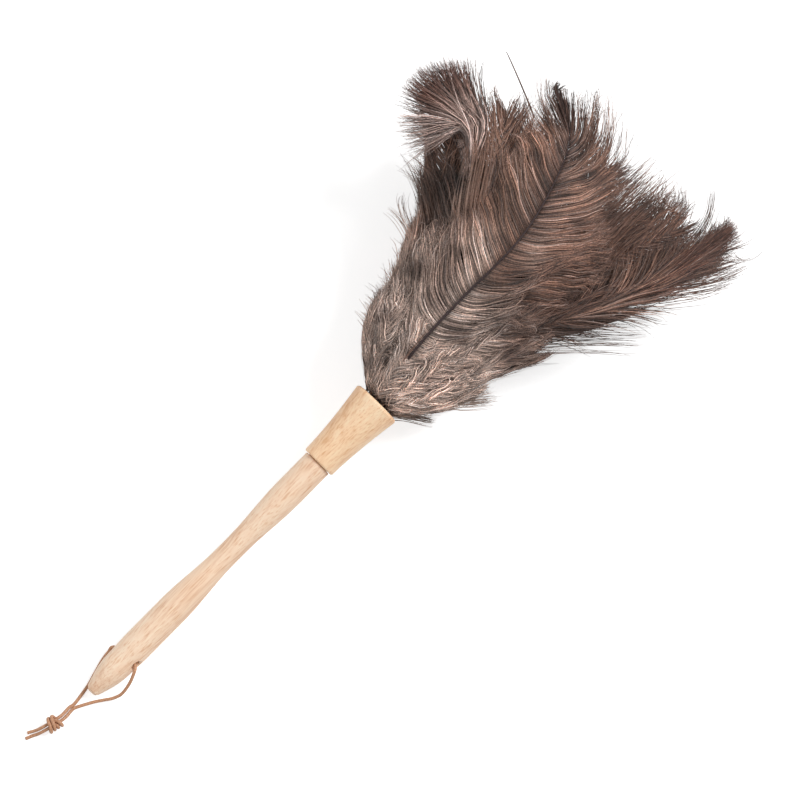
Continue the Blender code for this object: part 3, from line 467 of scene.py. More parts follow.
# For each family: barbs, size of a bundle of them, barb length, angles in degrees to the rachis at the root
# and beyond the common lie at the end (each at the base of the plume and at its tip), how far the roots
# cross the rachis, which hides it, wave (radians, length), hook, loft, half width and paler tips
Family = namedtuple("Family", "barbs bundle size start end cross wave hook loft width tip")
FAMILIES = {
    "heart_plume": (360, 0.0040, 0.036, (70, 35), (20, 8), 0.0, (0.15, 0.016), 0.3, 0.003, 0.00042, 0.0),
    "core_plume": (450, 0.0040, 0.038, (70, 35), (20, 8), 0.0, (0.15, 0.016), 0.3, 0.003, 0.00042, 0.0),
    "long_plume": (1300, 0.0020, 0.056, (66, 38), (6, 4), 0.004, (0.20, 0.022), 0.6, 0.005, 0.00028, 0.2),
    "middle_plume": (1350, 0.0019, 0.046, (64, 42), (4, 4), 0.005, (0.22, 0.019), 1.0, 0.005, 0.00028, 0.5),
    "short_plume": (1050, 0.0017, 0.035, (58, 40), (2, 2), 0.006, (0.24, 0.016), 1.6, 0.006, 0.00027, 0.4),
    "skirt_plume": (720, 0.0017, 0.026, (56, 38), (4, 4), 0.006, (0.28, 0.014), 1.7, 0.006, 0.00027, 0.4),
    "hero_plume": (2700, 0.0011, 0.066, (84, 46), (0, 2), 0.0, (0.15, 0.034), 0.7, 0.003, 0.00027, 0.25),
    "left_tuft": (1700, 0.0020, 0.040, (70, 40), (4, 4), 0.002, (0.12, 0.026), 0.3, 0.004, 0.00031, 0.0),
    "right_tuft": (1700, 0.0024, 0.042, (56, 38), (4, 4), 0.002, (0.12, 0.030), 0.4, 0.004, 0.00033, 0.0),
}
LAYERED = ("long_plume", "middle_plume", "short_plume", "skirt_plume")

# The tufts' free ends: share of the barbs, roots along the vane (from, to), directions on the table of the
# barbs' ends (in degrees from the head's axis to the left), length, slope, blunt end
TUFTS = {
    "left_tuft": (
        (0.42, (0.72, 0.84), (56, 108), 0.061, -0.16, True),
        (0.26, (0.72, 0.84), (96, 162), 0.058, -0.26, False),
    ),
    "right_tuft": (
        (0.38, (0.42, 0.92), (-22, -7), 0.062, -0.10, True),
        (0.28, (0.26, 0.90), (44, 6), 0.066, -0.12, False),
        (0.12, (0.22, 0.80), (-52, -30), 0.074, -0.30, False),
        (0.09, (0.74, 0.93), (34, 2), 0.036, -0.10, False),
    ),
}
FAN_CENTRE = np.array([0.1600, 0.0770, 0.0930])
TUFT_END = np.array([0.2475, -0.0950, 0.0650])
TUFT_END_DIRECTION = np.array([math.cos(math.radians(-22.0)), math.sin(math.radians(-22.0)), 0.0])
CLUMP = 3.4

# Plumes whose barbs on the right stand apart in strands from this reach on, so that the table shows between
SPARSE_FROM = {"right_tuft": 0.0, "middle_plume_08": 0.095, "middle_plume_09": 0.115}

# Single hairs that stand out of the head: copies, half width, tone, scatter and four places on the way from
# root to tip, each as reach, to the left and up. Sizes and places are in millimetres.
STRAYS = {
    "hero_plume": (
        (1, 0.58, 0.45, 0, (204.2, 58.9, 78), (209.5, 71, 80), (216, 92.4, 88), (218.1, 101.9, 92)),
    ),
    "left_tuft": (
        (80, 0.27, 0.95, 11, (119, 41, 98), (140, 56, 100), (157, 67, 98), (174, 83, 94)),
        (90, 0.28, 0.55, 8, (98, 44, 74), (108, 58, 77), (117, 72, 77), (123.8, 87, 74)),
        (36, 0.22, 0.85, 8, (110, 58, 78), (118, 70, 80), (123.5, 82, 78), (124, 96, 72)),
        (3, 0.13, 0.9, 3, (178.1, 79.3, 85), (186, 92, 87), (195, 107, 87), (207, 121.8, 85)),
        (3, 0.13, 0.9, 3, (175.7, 100.1, 85), (182, 105, 85), (190, 109, 85), (199.1, 113.4, 85)),
    ),
    "long_plume_09": (
        (110, 0.28, 0.95, 13, (174, -23, 86), (196, -22.5, 85), (215, -23.5, 81), (233, -24.7, 76)),
        (100, 0.28, 0.75, 11, (176, -34, 84), (198, -36, 82), (216, -38.5, 79), (230, -36, 74)),
    ),
    "right_tuft": (
        (80, 0.22, 0.95, 11, (185, -80, 70), (205, -94, 62), (224, -105, 53), (242, -113, 46)),
        (2, 0.16, 0.8, 0.8, (241.3, -99, 62), (244, -110, 60), (253, -114.5, 60), (262, -114, 60)),
        (26, 0.2, 0.8, 6, (190, -64, 76), (213, -62, 73), (233, -54, 70), (246, -43, 66)),
        (22, 0.2, 0.8, 5, (206, -70, 75), (228, -72, 72), (246, -68, 69), (260, -59, 66)),
    ),
    "middle_plume_08": (
        (30, 0.2, 0.8, 8, (95, -42, 62), (118, -61, 58), (140, -81, 50), (158, -98, 42)),
    ),
    "skirt_plume_10": (
        (44, 0.24, 0.75, 4.5, (33, -32, 50), (41, -40, 48), (49, -46.5, 45), (56, -51.5, 43)),
    ),
    "skirt_plume_03": (
        (50, 0.24, 0.95, 7, (27, 25, 60), (31.5, 33.1, 62), (33, 40, 60), (34, 45.5, 55)),
        (56, 0.24, 0.95, 7.5, (37, 30, 64), (42.9, 38.6, 64), (45.5, 45, 61), (47.5, 50.5, 56)),
        (56, 0.24, 0.95, 7.5, (48, 31, 66), (54.3, 40.5, 65), (57, 46.5, 62), (59, 52, 56)),
    ),
    "short_plume_02": (
        (56, 0.24, 0.95, 7.5, (56, 35, 66), (63.3, 43.8, 65), (68, 50, 62), (72.2, 55.5, 57)),
        (44, 0.24, 0.9, 7, (70, 42, 68), (78.2, 50.8, 67), (82.2, 56, 63), (85.8, 60, 58)),
        (9, 0.22, 0.8, 3.5, (79, 43, 70), (87.7, 61, 71), (92, 74, 69), (92.6, 83.1, 66)),
        (14, 0.22, 0.7, 5, (84, 50, 70), (91.9, 60.2, 70), (97.5, 74.1, 70), (106, 83, 68)),
    ),
    "skirt_plume_09": (
        (60, 0.24, 0.45, 3, (3, -11, 30), (10, -18, 27), (15.7, -26, 24), (21.5, -34, 21)),
    ),
}

# Darker and lighter places of the mass: reach, to the left, size, tone
TONES = (
    (0.024, -0.013, 0.018, 1.58), (0.055, -0.036, 0.020, 0.96), (0.084, 0.022, 0.026, 0.78),
    (0.034, 0.022, 0.016, 0.85), (0.138, 0.028, 0.020, 0.72), (0.129, 0.046, 0.010, 1.45),
    (0.096, -0.021, 0.024, 0.66), (0.088, -0.005, 0.011, 0.70), (0.126, 0.072, 0.014, 0.30),
    (0.200, -0.032, 0.018, 0.75), (0.182, 0.058, 0.020, 1.50), (0.150, -0.026, 0.015, 1.10),
    (0.092, 0.062, 0.014, 1.50), (0.138, 0.030, 0.030, 0.90),
)

# The head's left edge, reach against distance to the left, and how barbs beyond it are combed in
LEFT_EDGE = (
    (0.0, 0.030, 0.048, 0.063, 0.078, 0.105, 0.117, 0.140),
    (0.019, 0.0430, 0.0480, 0.0480, 0.0535, 0.0660, 0.0840, 0.1200),
)
COMB_SHARE = 0.85
SHAFT_INSET = 0.006

# The common lie of the barbs: largest angle to the head's axis, and where it passes through zero
LIE_LIMIT = math.radians(45.0)
LIE_EASE = 0.024
LIE_PARTING = 0.006
SIDE_SPREAD = math.radians(16.0)
SIDE_DROOP = math.radians(22.0)

# The long top plume lies on the short ones
HERO_LIFT = 0.0040
HERO_SHAFT_LIFT = 0.0010


def lie_of_mass(x, y):
    """The way in which the head's barbs are combed: outwards on both sides, ahead at the front."""
    front = ease((x - 0.140) / 0.080)
    base = 1.0 - ease(x / 0.060)
    lie = LIE_LIMIT * np.tanh((y - LIE_PARTING) / LIE_EASE)
    return lie * np.where(lie < 0, 1.0 - 0.70 * front + 0.40 * base, 1.0)


def mass_colour(place):
    """Beige grey near the collar, brown ahead, rust towards the right, with darker patches; painted shade at
    the collar's mouth and far right.
    """
    x, y, z = place[..., 0], place[..., 1], place[..., 2]
    wander = np.sin(x * 118 + 1.7) * np.cos(y * 97 + 0.4) + 0.6 * np.sin(x * 61 - y * 190 + 2.0)
    colour = mix(BEIGE, BROWN, ease((x - 0.045) / 0.100 + 0.14 * wander)[..., None])
    to_right = ease((0.022 - y) / 0.045 + 0.20 * wander)
    warm = np.maximum(to_right * ease((x - 0.055) / 0.070), ease((x - 0.170) / 0.040) * 0.5)
    colour = mix(colour, RUST, 0.8 * warm[..., None])
    # Painted shade on the far right, beside the right tuft: the mass is darkened towards DARK there.
    far_right_shade = 0.45 * ease((-0.040 - y) / 0.025) * ease((x - 0.080) / 0.050)
    colour = mix(colour, DARK, far_right_shade[..., None])
    patch = np.sin(x * 178 + y * 84 + 0.9) * np.sin(y * 141 - x * 52 + 2.2) + 0.4 * np.sin(z * 160 + x * 90)
    colour = mix(colour, DARK, 0.60 * ease((patch - 0.2) / 0.7)[..., None])
    tone = np.zeros_like(x)
    for reach, left, size, factor in TONES:
        tone += math.log(factor) * np.exp(-((x - reach) ** 2 + (y - left) ** 2) / size ** 2)
    # Painted shade at the collar's mouth: the first few millimetres of the mass are darkened towards DARK.
    rim_shade = 0.55 * (1.0 - ease((x + 0.0005) / 0.0065))
    return mix(colour * np.exp(tone)[..., None], DARK, rim_shade[..., None])


def walk(angle, step):
    """Places ahead and aside after each step in the given directions."""
    zero = np.zeros((len(angle), 1))
    ahead = np.concatenate([zero, np.cumsum(np.cos(angle) * step, axis=1)], axis=1)
    aside = np.concatenate([zero, np.cumsum(np.sin(angle) * step, axis=1)], axis=1)
    return ahead, aside


def comb_in(line, inset):
    """Draw in what would stand out beyond the head's left edge."""
    over = line[..., 1] - np.interp(line[..., 0], *LEFT_EDGE) + inset
    line[..., 1] -= COMB_SHARE * np.maximum(over, 0.0)
    return line


def hero_lift(reach):
    """How far the long top plume is raised, above the short ones' barbs."""
    return HERO_LIFT * ease((reach - 0.022) / 0.012) * (1.0 - ease((reach - 0.055) / 0.040))


def press_under(hero, line):
    """Keep the other plumes' barbs below the long top plume, which lies on them."""
    reach = np.linspace(0.024, 0.200, 90)
    _, along, across = head_slopes(reach, hero.level_at(reach), hero.turn_at(reach))
    spine = hero.spine(reach) + unit(np.cross(along, across)) * hero_lift(reach)[:, None]
    beside = np.abs(line[..., 1] - np.interp(line[..., 0], spine[:, 0], spine[:, 1]))
    above = line[..., 2] - np.interp(line[..., 0], spine[:, 0], spine[:, 2]) + 0.0014 + 4.0 * beside ** 2
    near = (1.0 - ease((beside - 0.026) / 0.014)) * ease((line[..., 0] - 0.040) / 0.030)
    close = (1.0 - ease((beside - 0.0015) / 0.0060)) * ease((line[..., 0] - 0.022) / 0.010)
    line[..., 2] -= np.where((above > 0.0) & (above < 0.030), above * np.maximum(near, close), 0.0)
    return line


def keep_inside(line, rng):
    """Shorten barbs towards their roots where they would leave the head's space, and keep off the table."""
    shift = np.array(SHIFT)
    root = line[:, :1] + shift
    away = line + shift - root
    margin = LIMIT_MARGIN * rng.uniform(size=line.shape[0])[:, None, None]
    with np.errstate(divide="ignore", invalid="ignore"):
        up = np.where(away > 1e-9, (HIGH_LIMIT - margin - root) / away, np.inf)
        down = np.where(away < -1e-9, (LOW_LIMIT + margin - root) / away, np.inf)
    down[..., 2] = np.inf
    fit = np.clip(np.minimum(up, down).min(axis=(1, 2)), 0.1, 1.0)
    line = root + away * fit[:, None, None] - shift
    low = LEAST_HEIGHT + LEAST_HEIGHT_SPREAD * rng.uniform(size=line.shape[0])[:, None]
    line[..., 2] = np.maximum(line[..., 2], low)
    return line


def stray_lines(copies, scatter, places, rng):
    """Smooth lines through four places, each copy a little apart and spreading towards the ends."""
    flatter = scatter * np.array([1.0, 1.0, 0.4])
    spots = np.array(places)[None, :, :] + flatter * rng.normal(0.0, 0.5, (copies, 1, 3))
    spread = flatter * rng.normal(0.0, 0.25, (copies, 1, 3))
    spots = spots + spread * np.array([0.0, 0.2, 0.6, 1.2])[None, :, None]
    u = np.linspace(0.0, 1.0, POINTS)
    basis = np.stack([
        (u - 1 / 3) * (u - 2 / 3) * (u - 1) * -4.5, u * (u - 2 / 3) * (u - 1) * 13.5,
        u * (u - 1 / 3) * (u - 1) * -13.5, u * (u - 1 / 3) * (u - 2 / 3) * 4.5,
    ])
    return keep_inside(np.einsum("pn,cpk->cnk", basis, spots), rng)


class Barbs:
    """All barbs of one plume, as arrays with a row for each barb and a column for each point along it.

    They end up as line (the points), outward (the feather's outer side), width (half widths) and colour.
    """

    def __init__(self, plume, kind, hero, rng):
        self.plume = plume
        self.kind = kind
        self.is_hero = kind == "hero_plume"
        self.family = Family(*FAMILIES[kind])
        self.rng = rng
        self.u = np.linspace(0.0, 1.0, POINTS)[None, :]
        self.between = (self.u[:, :-1] + self.u[:, 1:]) / 2
        self.plant()
        self.gather()
        self.measure()
        self.aim()
        self.lay()
        self.arrange(hero)
        self.thicken()
        self.colour = self.paint()
        for copies, half_width, dark, scatter, *places in STRAYS.get(plume.name, ()):
            self.add_hairs(copies, half_width * MM, dark, scatter * MM, np.array(places) * MM)

    def plant(self):
        """Place the roots along the vane and on its two sides; group is a tuft's free ends, or -1."""
        rng, count = self.rng, self.family.barbs
        queue = (np.arange(count) + rng.uniform(0.0, 1.0, count)) / count
        low = SKIRT_VANE_LOW_SHARE if self.kind == "skirt_plume" else VANE_LOW_SHARE
        high = HERO_VANE_HIGH_SHARE if self.is_hero else VANE_HIGH_SHARE
        way = low + (high - low) * queue
        group = np.full(count, -1)
        if self.kind in TUFTS:
            way = low + (TUFT_STEM_SHARE - low) * queue
            chance = rng.uniform(size=count)
            done = 0.0
            for index, (part, (first, last), *_) in enumerate(TUFTS[self.kind]):
                chosen = (chance >= done) & (chance < done + part)
                group[chosen] = index
                way[chosen] = first + (last - first) * rng.uniform(size=chosen.sum())
                done += part
        order = np.argsort(way, kind="stable")
        self.count = count
        self.way, self.group = way[order], group[order]
        self.side = np.where(rng.uniform(size=count) < 0.5, 1.0, -1.0)
        self.root = self.plume.vane_start + self.way * (self.plume.length - self.plume.vane_start)
        self.share = np.clip(self.way, 0.0, 1.0)

    def drift(self, spacing):
        """A smooth wandering along the plume, of its own on each side of the rachis."""
        at = (self.root - self.root.min()) / spacing
        index = at.astype(int)
        knots = self.rng.normal(0.0, 1.0, (2, index.max() + 2))
        row = (self.side > 0).astype(int)
        return mix(knots[row, index], knots[row, index + 1], ease(at - index))

    def per_bundle(self, draw, first, second):
        """One random value for all barbs of a bundle."""
        return draw(first, second, self.bundles)[self.bundle]

    def gather(self):
        """Bundles: neighbours on one side that bend alike, close up towards their tips and form a ridge."""
        rng, size = self.rng, self.family.bundle
        wander = self.root + 0.45 * size * self.drift(3.0 * size)
        at = (wander - wander.min()) / size
        bundle = at.astype(int)
        self.ridge = 1.0 - (2.0 * (at - bundle) - 1.0) ** 2
        on_one_side = bundle.max() + 1
        self.bundles = 2 * on_one_side
        self.bundle = bundle + on_one_side * (self.side > 0)
        self.sparse = (self.side < 0) & (self.root > SPARSE_FROM.get(self.plume.name, 1.0))
        pull = np.where(self.sparse, 1.0, self.per_bundle(rng.uniform, 0.25, 0.8))
        self.closing = (bundle + 0.5 - at) * size * pull
        self.bundle_lean = self.per_bundle(rng.normal, 0.0, math.radians(1.4 if self.is_hero else 2.4))
        self.bundle_phase = self.per_bundle(rng.normal, 0.0, 0.7)
        self.bundle_hook = self.per_bundle(rng.normal, 0.0, 1.0)
        self.bundle_loft = self.per_bundle(rng.uniform, -1.0, 1.0)
        stand = self.per_bundle(rng.uniform, 0.0, 0.20)
        self.stand = stand * (self.per_bundle(rng.uniform, 0.0, 1.0) < 0.35)
        self.rank = rng.uniform(size=self.count)
        self.tone = self.per_bundle(rng.normal, 0.0, 0.27)
        # Painted light and shade: barbs on a bundle's ridge and those lifted higher by their rank are
        # painted lighter, those at its edges and lower down darker.
        self.tone += np.log((0.46 + 0.72 * self.ridge) * (0.66 + 0.62 * self.rank))
        self.loose = rng.uniform(size=self.count) < LOOSE_SHARE

    def measure(self):
        """Give every barb its length."""
        rng = self.rng
        size = self.family.size * np.interp(self.share, *SIZE_SHARES) * rng.uniform(0.84, 1.06, self.count)
        size *= 1.0 + 0.10 * self.drift(0.009)
        size *= np.where(self.loose, 1.2, 1.0)
        broken = np.where(rng.uniform(size=self.count) < 0.6, 0.30, 0.95)
        self.size = size * np.where(self.sparse, broken, 1.0)

    def aim(self):
        """Directions against the rachis: from the root's angle to the common lie, with a wave and a hook."""
        rng, plume, root, share, side = self.rng, self.plume, self.root, self.share, self.side
        here, along, across = head_slopes(root, plume.level_at(root), plume.turn_at(root))
        self.normal = unit(np.cross(along, across))
        self.forward = unit(plume.spine(root + STEP) - plume.spine(root))
        self.across_vane = np.cross(self.normal, self.forward)
        self.facing = self.normal[:, 2]
        self.edge_on = 1.0 - np.abs(self.facing)
        self.heading = np.arctan2(self.forward[:, 1], self.forward[:, 0])
        start = side * np.radians(mix(*self.family.start, share))
        lie = lie_of_mass(here[:, 0] + 0.4 * self.size, here[:, 1] + 0.6 * self.size * side * self.facing)
        end = self.facing * (lie - self.heading) + side * np.radians(mix(*self.family.end, share))
        end += self.edge_on * (side * SIDE_SPREAD - self.across_vane[:, 2] * SIDE_DROOP)
        if self.is_hero:
            tip = ease((share - 0.84) / 0.10)
            start = start * (1.0 - 0.7 * tip)
            end = mix(end, side * math.radians(6.0), tip)
            thinning = ease((share - 0.55) / 0.2) * rng.uniform(0.0, 0.5, self.count) ** 0.8
            thin = np.where(side < 0, thinning, 0.0)
            above = np.where(side > 0, 0.34 * ease((share - 0.55) / 0.25), 0.0)
            self.size = self.size * (1.0 - 0.55 * tip) * (1.0 - thin) * (1.0 - above)
        self.lean = math.radians(4.0) * self.drift(0.020) + self.bundle_lean
        self.lean += rng.normal(0.0, 1.0, self.count) * np.radians(np.where(self.loose, 9.0, 1.3))
        turned = self.between ** (0.65 if self.is_hero else 0.45)
        self.angle = start[:, None] + (end - start)[:, None] * turned + self.lean[:, None]
        wave, wave_length = self.family.wave
        phase = 1.5 * self.drift(0.014) + self.bundle_phase + rng.normal(0.0, 0.25, self.count)
        travel = self.size[:, None] * self.between / wave_length * math.tau
        self.swing = wave * np.sin(travel + phase[:, None]) * np.minimum(1.0, 2.0 * self.between)
        hook = self.family.hook * (0.8 * self.bundle_hook + 0.4 * rng.normal(0.0, 1.0, self.count))
        self.swing += hook[:, None] * np.clip((self.between - 0.72) / 0.28, 0.0, 1.0) ** 1.3

    def lay(self):
        """Walk each barb over the plume's own surface, within the plume's length, and raise it off it."""
        rng, plume = self.rng, self.plume
        ahead, aside = walk(self.angle + self.swing, self.size[:, None] / (POINTS - 1))
        ahead += self.closing[:, None] * self.u ** 1.2
        ragged = 0.003 if self.kind in TUFTS else 0.012
        ragged = ragged * (rng.uniform(-0.8, 0.3, self.count) + self.per_bundle(rng.uniform, -0.2, 0.4))
        margin = np.where(self.loose, rng.uniform(0.004, 0.014, self.count), 0.003 + ragged)
        rounding = (0.1 if self.kind in ("hero_plume", "long_plume") else 0.45) * np.abs(aside[:, -1])
        room = np.maximum(plume.length + margin - self.root - rounding, 0.002)
        fit = np.clip(room / np.maximum(ahead.max(axis=1), 1e-6), 0.15, 1.0)[:, None]
        ahead, aside = ahead * fit, aside * fit
        offset = plume.quill * (1.0 - SHAFT_TAPER_SHARE * self.share)
        offset = self.side * (offset - self.family.cross * rng.uniform(size=self.count))
        reach, level, turn = plume.on_vane(self.root[:, None] + ahead, offset[:, None] + aside)
        here, along, across = head_slopes(reach, level, turn)
        self.outward = unit(np.cross(along, across))
        line = here + self.outward * self.lift()[..., None]

        # Towards its end a barb leaves the layer in its own straight plane, most so at the sides
        straight = self.forward[:, None] * ahead[..., None] + self.across_vane[:, None] * aside[..., None]
        leave = np.full(self.count, 0.10) if self.is_hero else 0.20 + 0.60 * self.rank * self.edge_on
        self.line = line + (line[:, :1] + straight - line) * (leave[:, None] * self.u ** 1.5)[..., None]

    def lift(self):
        """How far each point stands off the plume's surface."""
        u = self.u
        lift = 0.0004 + self.family.loft * (
            0.20 * np.sin(np.pi * np.clip(u * 1.1, 0.0, 1.0))
            + 0.18 * self.bundle_loft[:, None] * u
            + 0.60 * (self.rank - 0.5)[:, None] * np.sqrt(u)
            + np.where(self.loose, 0.8, 0.0)[:, None] * u
        ) + 0.0005 * (self.ridge[:, None] - 0.5) * np.sqrt(u)
        if self.kind in LAYERED:
            lift += (self.stand * self.size)[:, None] * u ** 2.5
        return lift

    def arrange(self, hero):
        """Lay the barbs against the rest of the head: the hero on top, the others combed in and under it."""
        rng, u = self.rng, self.u
        if self.is_hero:
            self.line += self.normal[:, None] * hero_lift(self.root)[:, None, None]
            fray = rng.uniform(size=self.count) * ease((self.share - 0.55) / 0.3)
            self.line[..., 2] += fray[:, None] * 0.010 * u ** 2
        else:
            self.line = comb_in(self.line, rng.uniform(0.0, 0.009, self.count)[:, None] - 0.005 * u ** 3)
        if self.kind in TUFTS:
            self.spread_tuft()
        elif not self.is_hero:
            self.line = press_under(hero, self.line)
        self.line = keep_inside(self.line, rng)

    def spread_tuft(self):
        """Lay the free ends of a tuft like a broom: the left one's spread from one centre, like a fan."""
        rng, line, u = self.rng, self.line, self.u
        is_fan = self.kind == "left_tuft"
        swing = self.swing + self.lean[:, None]
        for index, (_, roots, lies, length, slope, blunt) in enumerate(TUFTS[self.kind]):
            first, last = roots
            lie_first, lie_last = lies
            chosen = np.flatnonzero(self.group == index)
            count = len(chosen)
            if is_fan:
                line[chosen, :, 2] -= 0.006
                line[chosen, :, 1] += rng.uniform(-0.004, 0.006, count)[:, None]
            start = line[chosen, 0]
            own = rng.uniform(size=count) if is_fan else (self.way[chosen] - first) / (last - first)
            lie = lie_first + (lie_last - lie_first) * own + rng.normal(0.0, 3.0, count)
            clump = np.round(lie / CLUMP)
            lie = np.radians(lie + 0.8 * (CLUMP * clump - lie))
            clump_chance = np.sin(clump * 12.9898 + index) * 0.5 + 0.5
            size = length * (rng.uniform(0.94, 1.02, count) - 0.10 * clump_chance)
            if is_fan:
                if not blunt:
                    size = size * rng.uniform(0.80, 1.0, count)
                to_centre = FAN_CENTRE - start
                near = np.hypot(to_centre[:, 0], to_centre[:, 1])
                begin = np.arctan2(to_centre[:, 1], to_centre[:, 0])
                size = size + near
                near = near[:, None]
                turned = ease((size[:, None] * self.between - 0.75 * near) / (0.5 * near + 0.010))
            else:
                size = size * rng.uniform(0.82, 1.05, count) * (1.0 - 0.38 * own * (index == 1))
                begin = self.heading[chosen] + 0.15 * (lie - self.heading[chosen])
                turned = self.between ** 0.8
            angle = begin[:, None] + (lie - begin)[:, None] * turned + swing[chosen]
            ahead, aside = walk(angle, size[:, None] / (POINTS - 1))
            rank = self.rank[chosen][:, None] - 0.5
            height = (0.06 * u + (slope + 0.14 * rank) * u ** 1.5) * size[:, None] + 0.004 * rank
            if is_fan:
                height = height + 0.009 * ease(u / 0.35)
            away = np.stack([ahead, aside, height], axis=-1)
            if blunt and not is_fan:
                left = (TUFT_END - start) @ TUFT_END_DIRECTION + rng.uniform(-0.003, 0.002, count)
                fit = left / np.maximum(away[:, -1] @ TUFT_END_DIRECTION, 1e-4)
                away *= np.clip(fit, 0.2, 1.25)[:, None, None]
            line[chosen] = line[chosen, :1] + away

    def thicken(self):
        """Half widths along the barbs, thin at the root and at the tip."""
        taper = (1.0 - 0.88 * self.u ** 3) * (0.6 + 0.4 * ease(self.u / 0.12))
        self.width = self.family.width * self.rng.uniform(0.75, 1.25, self.count)[:, None] * taper
        self.width *= np.where(self.loose, 0.5, 1.0)[:, None]

    def paint(self):
        """Colour of every point, with single barbs painted lighter and greyer as highlights and darker as
        shade among them.
        """
        rng, u, share = self.rng, self.u, self.share[:, None]
        colour = mass_colour(self.line)
        if self.kind in ("heart_plume", "core_plume"):
            colour = mix(colour, DARK, 0.5)
        if self.kind in TUFTS:
            own = mix(colour, TUFT_BASE[self.kind], 0.85)
            if self.kind == "right_tuft":
                # Painted shadow: barbs on the lower half of the right tuft's vane are darkened where the
                # tuft meets the rest of the head.
                own = mix(own, TUFT_SHADOW, 0.55 * (1.0 - ease(share / 0.55))[..., None])
            dark_end = 0.9 * ease((u - 0.48) / 0.32) * (self.group == 0)[:, None]
            own = mix(own, BLUNT, dark_end[..., None])
            colour = np.where((self.group >= 0)[:, None, None], own, mix(colour, DARK, 0.5))
        if self.is_hero:
            near = 0.75 * (1.0 - ease((u - 0.05) / (0.20 + 0.30 * share)))
            dark = np.maximum(near * ease((share - 0.3) / 0.4), 0.85 * ease((share - 0.83) / 0.09))
            colour = mix(colour, HERO_DARK, dark[..., None])
            colour = mix(colour, DARK, 0.35 * (1.0 - ease(u / 0.15))[..., None])
        chance = rng.uniform(size=self.count)
        # Painted light and shade: about one barb in seven is a painted highlight, lighter and greyer; about
        # a fifth are painted darker as shade among the strands.
        painted_highlight = chance > 0.86
        accent = np.where(chance < 0.22, 0.38, np.where(painted_highlight, 1.36, 1.0)) * np.where(self.loose, 0.7, 1.0)
        tone = np.exp(self.tone + rng.normal(0.0, 0.28, self.count)) * accent
        tips = 1.0 + self.family.tip * np.clip((u - 0.7) / 0.3, 0.0, 1.0)
        colour = colour * (tone[:, None] * tips)[..., None]
        # The painted highlights, and the paler tips, are mixed towards grey.
        pale = np.where(painted_highlight, 0.36, 0.0)[:, None] + 0.25 * (tips - 1.0)
        return mix(colour, colour.mean(axis=-1, keepdims=True), pale[..., None])

    def add_hairs(self, copies, half_width, dark, scatter, places):
        """Single hairs in the colour of the mass under them, times a tone of their own."""
        hair = stray_lines(copies, scatter, places, self.rng)
        self.line = np.concatenate([self.line, hair])
        self.outward = np.concatenate([self.outward, np.zeros_like(hair) + (0.0, 0.0, 1.0)])
        taper = half_width * (1.0 - 0.7 * self.u ** 2)
        self.width = np.concatenate([self.width, np.repeat(taper, copies, axis=0)])
        shade = dark * self.rng.uniform(0.6, 1.3, copies)[:, None, None]
        self.colour = np.concatenate([self.colour, mass_colour(hair) * shade])


def strand_arrays(line, outward, width, roll):
    """Three-sided closed strands: a flat side within the feather and a ridge outwards."""
    count, points = line.shape[:2]
    tangent = unit(np.gradient(line, axis=1))
    side = unit(np.cross(tangent, outward))
    up = np.cross(side, tangent)
    cosine, sine = np.cos(roll)[..., None], np.sin(roll)[..., None]
    side, up = side * cosine + up * sine, up * cosine - side * sine
    width = width[..., None]
    verts = np.stack([line - side * width, line + up * width * 0.7, line + side * width], axis=2)
    base = (np.arange(count)[:, None, None] * points + np.arange(points - 1)[None, :, None]) * 3
    column = np.arange(3)[None, None, :]
    following = (column + 1) % 3
    quads = np.stack([base + column, base + following, base + 3 + following, base + 3 + column], axis=-1)
    root = np.arange(count)[:, None] * points * 3
    caps = np.concatenate([root + np.array([2, 1, 0]), root + (points - 1) * 3 + np.array([0, 1, 2])])
    return verts.reshape(-1, 3), quads.reshape(-1, 4), caps


def strand_uv(count, points):
    """Every strand has its own strip of the bake, and each of its three sides a third of it."""
    columns = max(1, int(math.sqrt(count / 6.0)))
    rows = -(-count // columns)
    index = np.arange(count)
    left = (index % columns) / columns
    low = 0.02 + 0.96 * (index // columns) / rows
    u0 = np.arange(points - 1) / (points - 1)
    x0 = left[:, None, None] + (0.03 + 0.94 * u0[None, :, None]) / columns
    dx = 0.94 / (points - 1) / columns
    y0 = low[:, None, None] + 0.96 / rows * (np.arange(3)[None, None, :] + 0.1) / 3.0
    dy = 0.96 / rows * 0.8 / 3.0
    x0, y0 = np.broadcast_arrays(x0, y0)
    quads = np.stack([
        np.stack([x0, y0], -1), np.stack([x0, y0 + dy], -1),
        np.stack([x0 + dx, y0 + dy], -1), np.stack([x0 + dx, y0], -1),
    ], axis=-2)
    cap = np.stack([left, low], -1)[:, None, :] + np.array([[0, 0], [0.001, 0], [0, 0.001]])[None]
    return quads.reshape(-1, 2), np.concatenate([cap, cap]).reshape(-1, 2)


SHAFT_STATIONS = 40
SHAFT_SIDES = 8


def make_shaft(plume, kind):
    """The quill and rachis, one tapering shaft; the long top plume's stands out of its barbs."""
    reach = np.concatenate([[-plume.start], np.linspace(0.0, plume.length, SHAFT_STATIONS)])
    radius = plume.quill * (1.0 - SHAFT_TAPER_SHARE * np.clip(reach / plume.length, 0.0, 1.0))
    spine = plume.spine(reach)
    if kind != "hero_plume":
        spine = comb_in(spine, SHAFT_INSET)
    else:
        _, along, across = head_slopes(reach, plume.level_at(reach), plume.turn_at(reach))
        raised = HERO_SHAFT_LIFT * ease((reach - 0.030) / 0.020) + hero_lift(reach)
        spine = spine + unit(np.cross(along, across)) * raised[:, None]
    return tube_arrays(spine, radius, SHAFT_SIDES)


SLOTS = {
    "heart_plume": "feather_inner", "core_plume": "feather_inner", "long_plume": "feather_long",
    "middle_plume": "feather_middle", "short_plume": "feather_short", "skirt_plume": "feather_down",
    "hero_plume": "feather_hero", "left_tuft": "feather_tuft", "right_tuft": "feather_tuft",
}


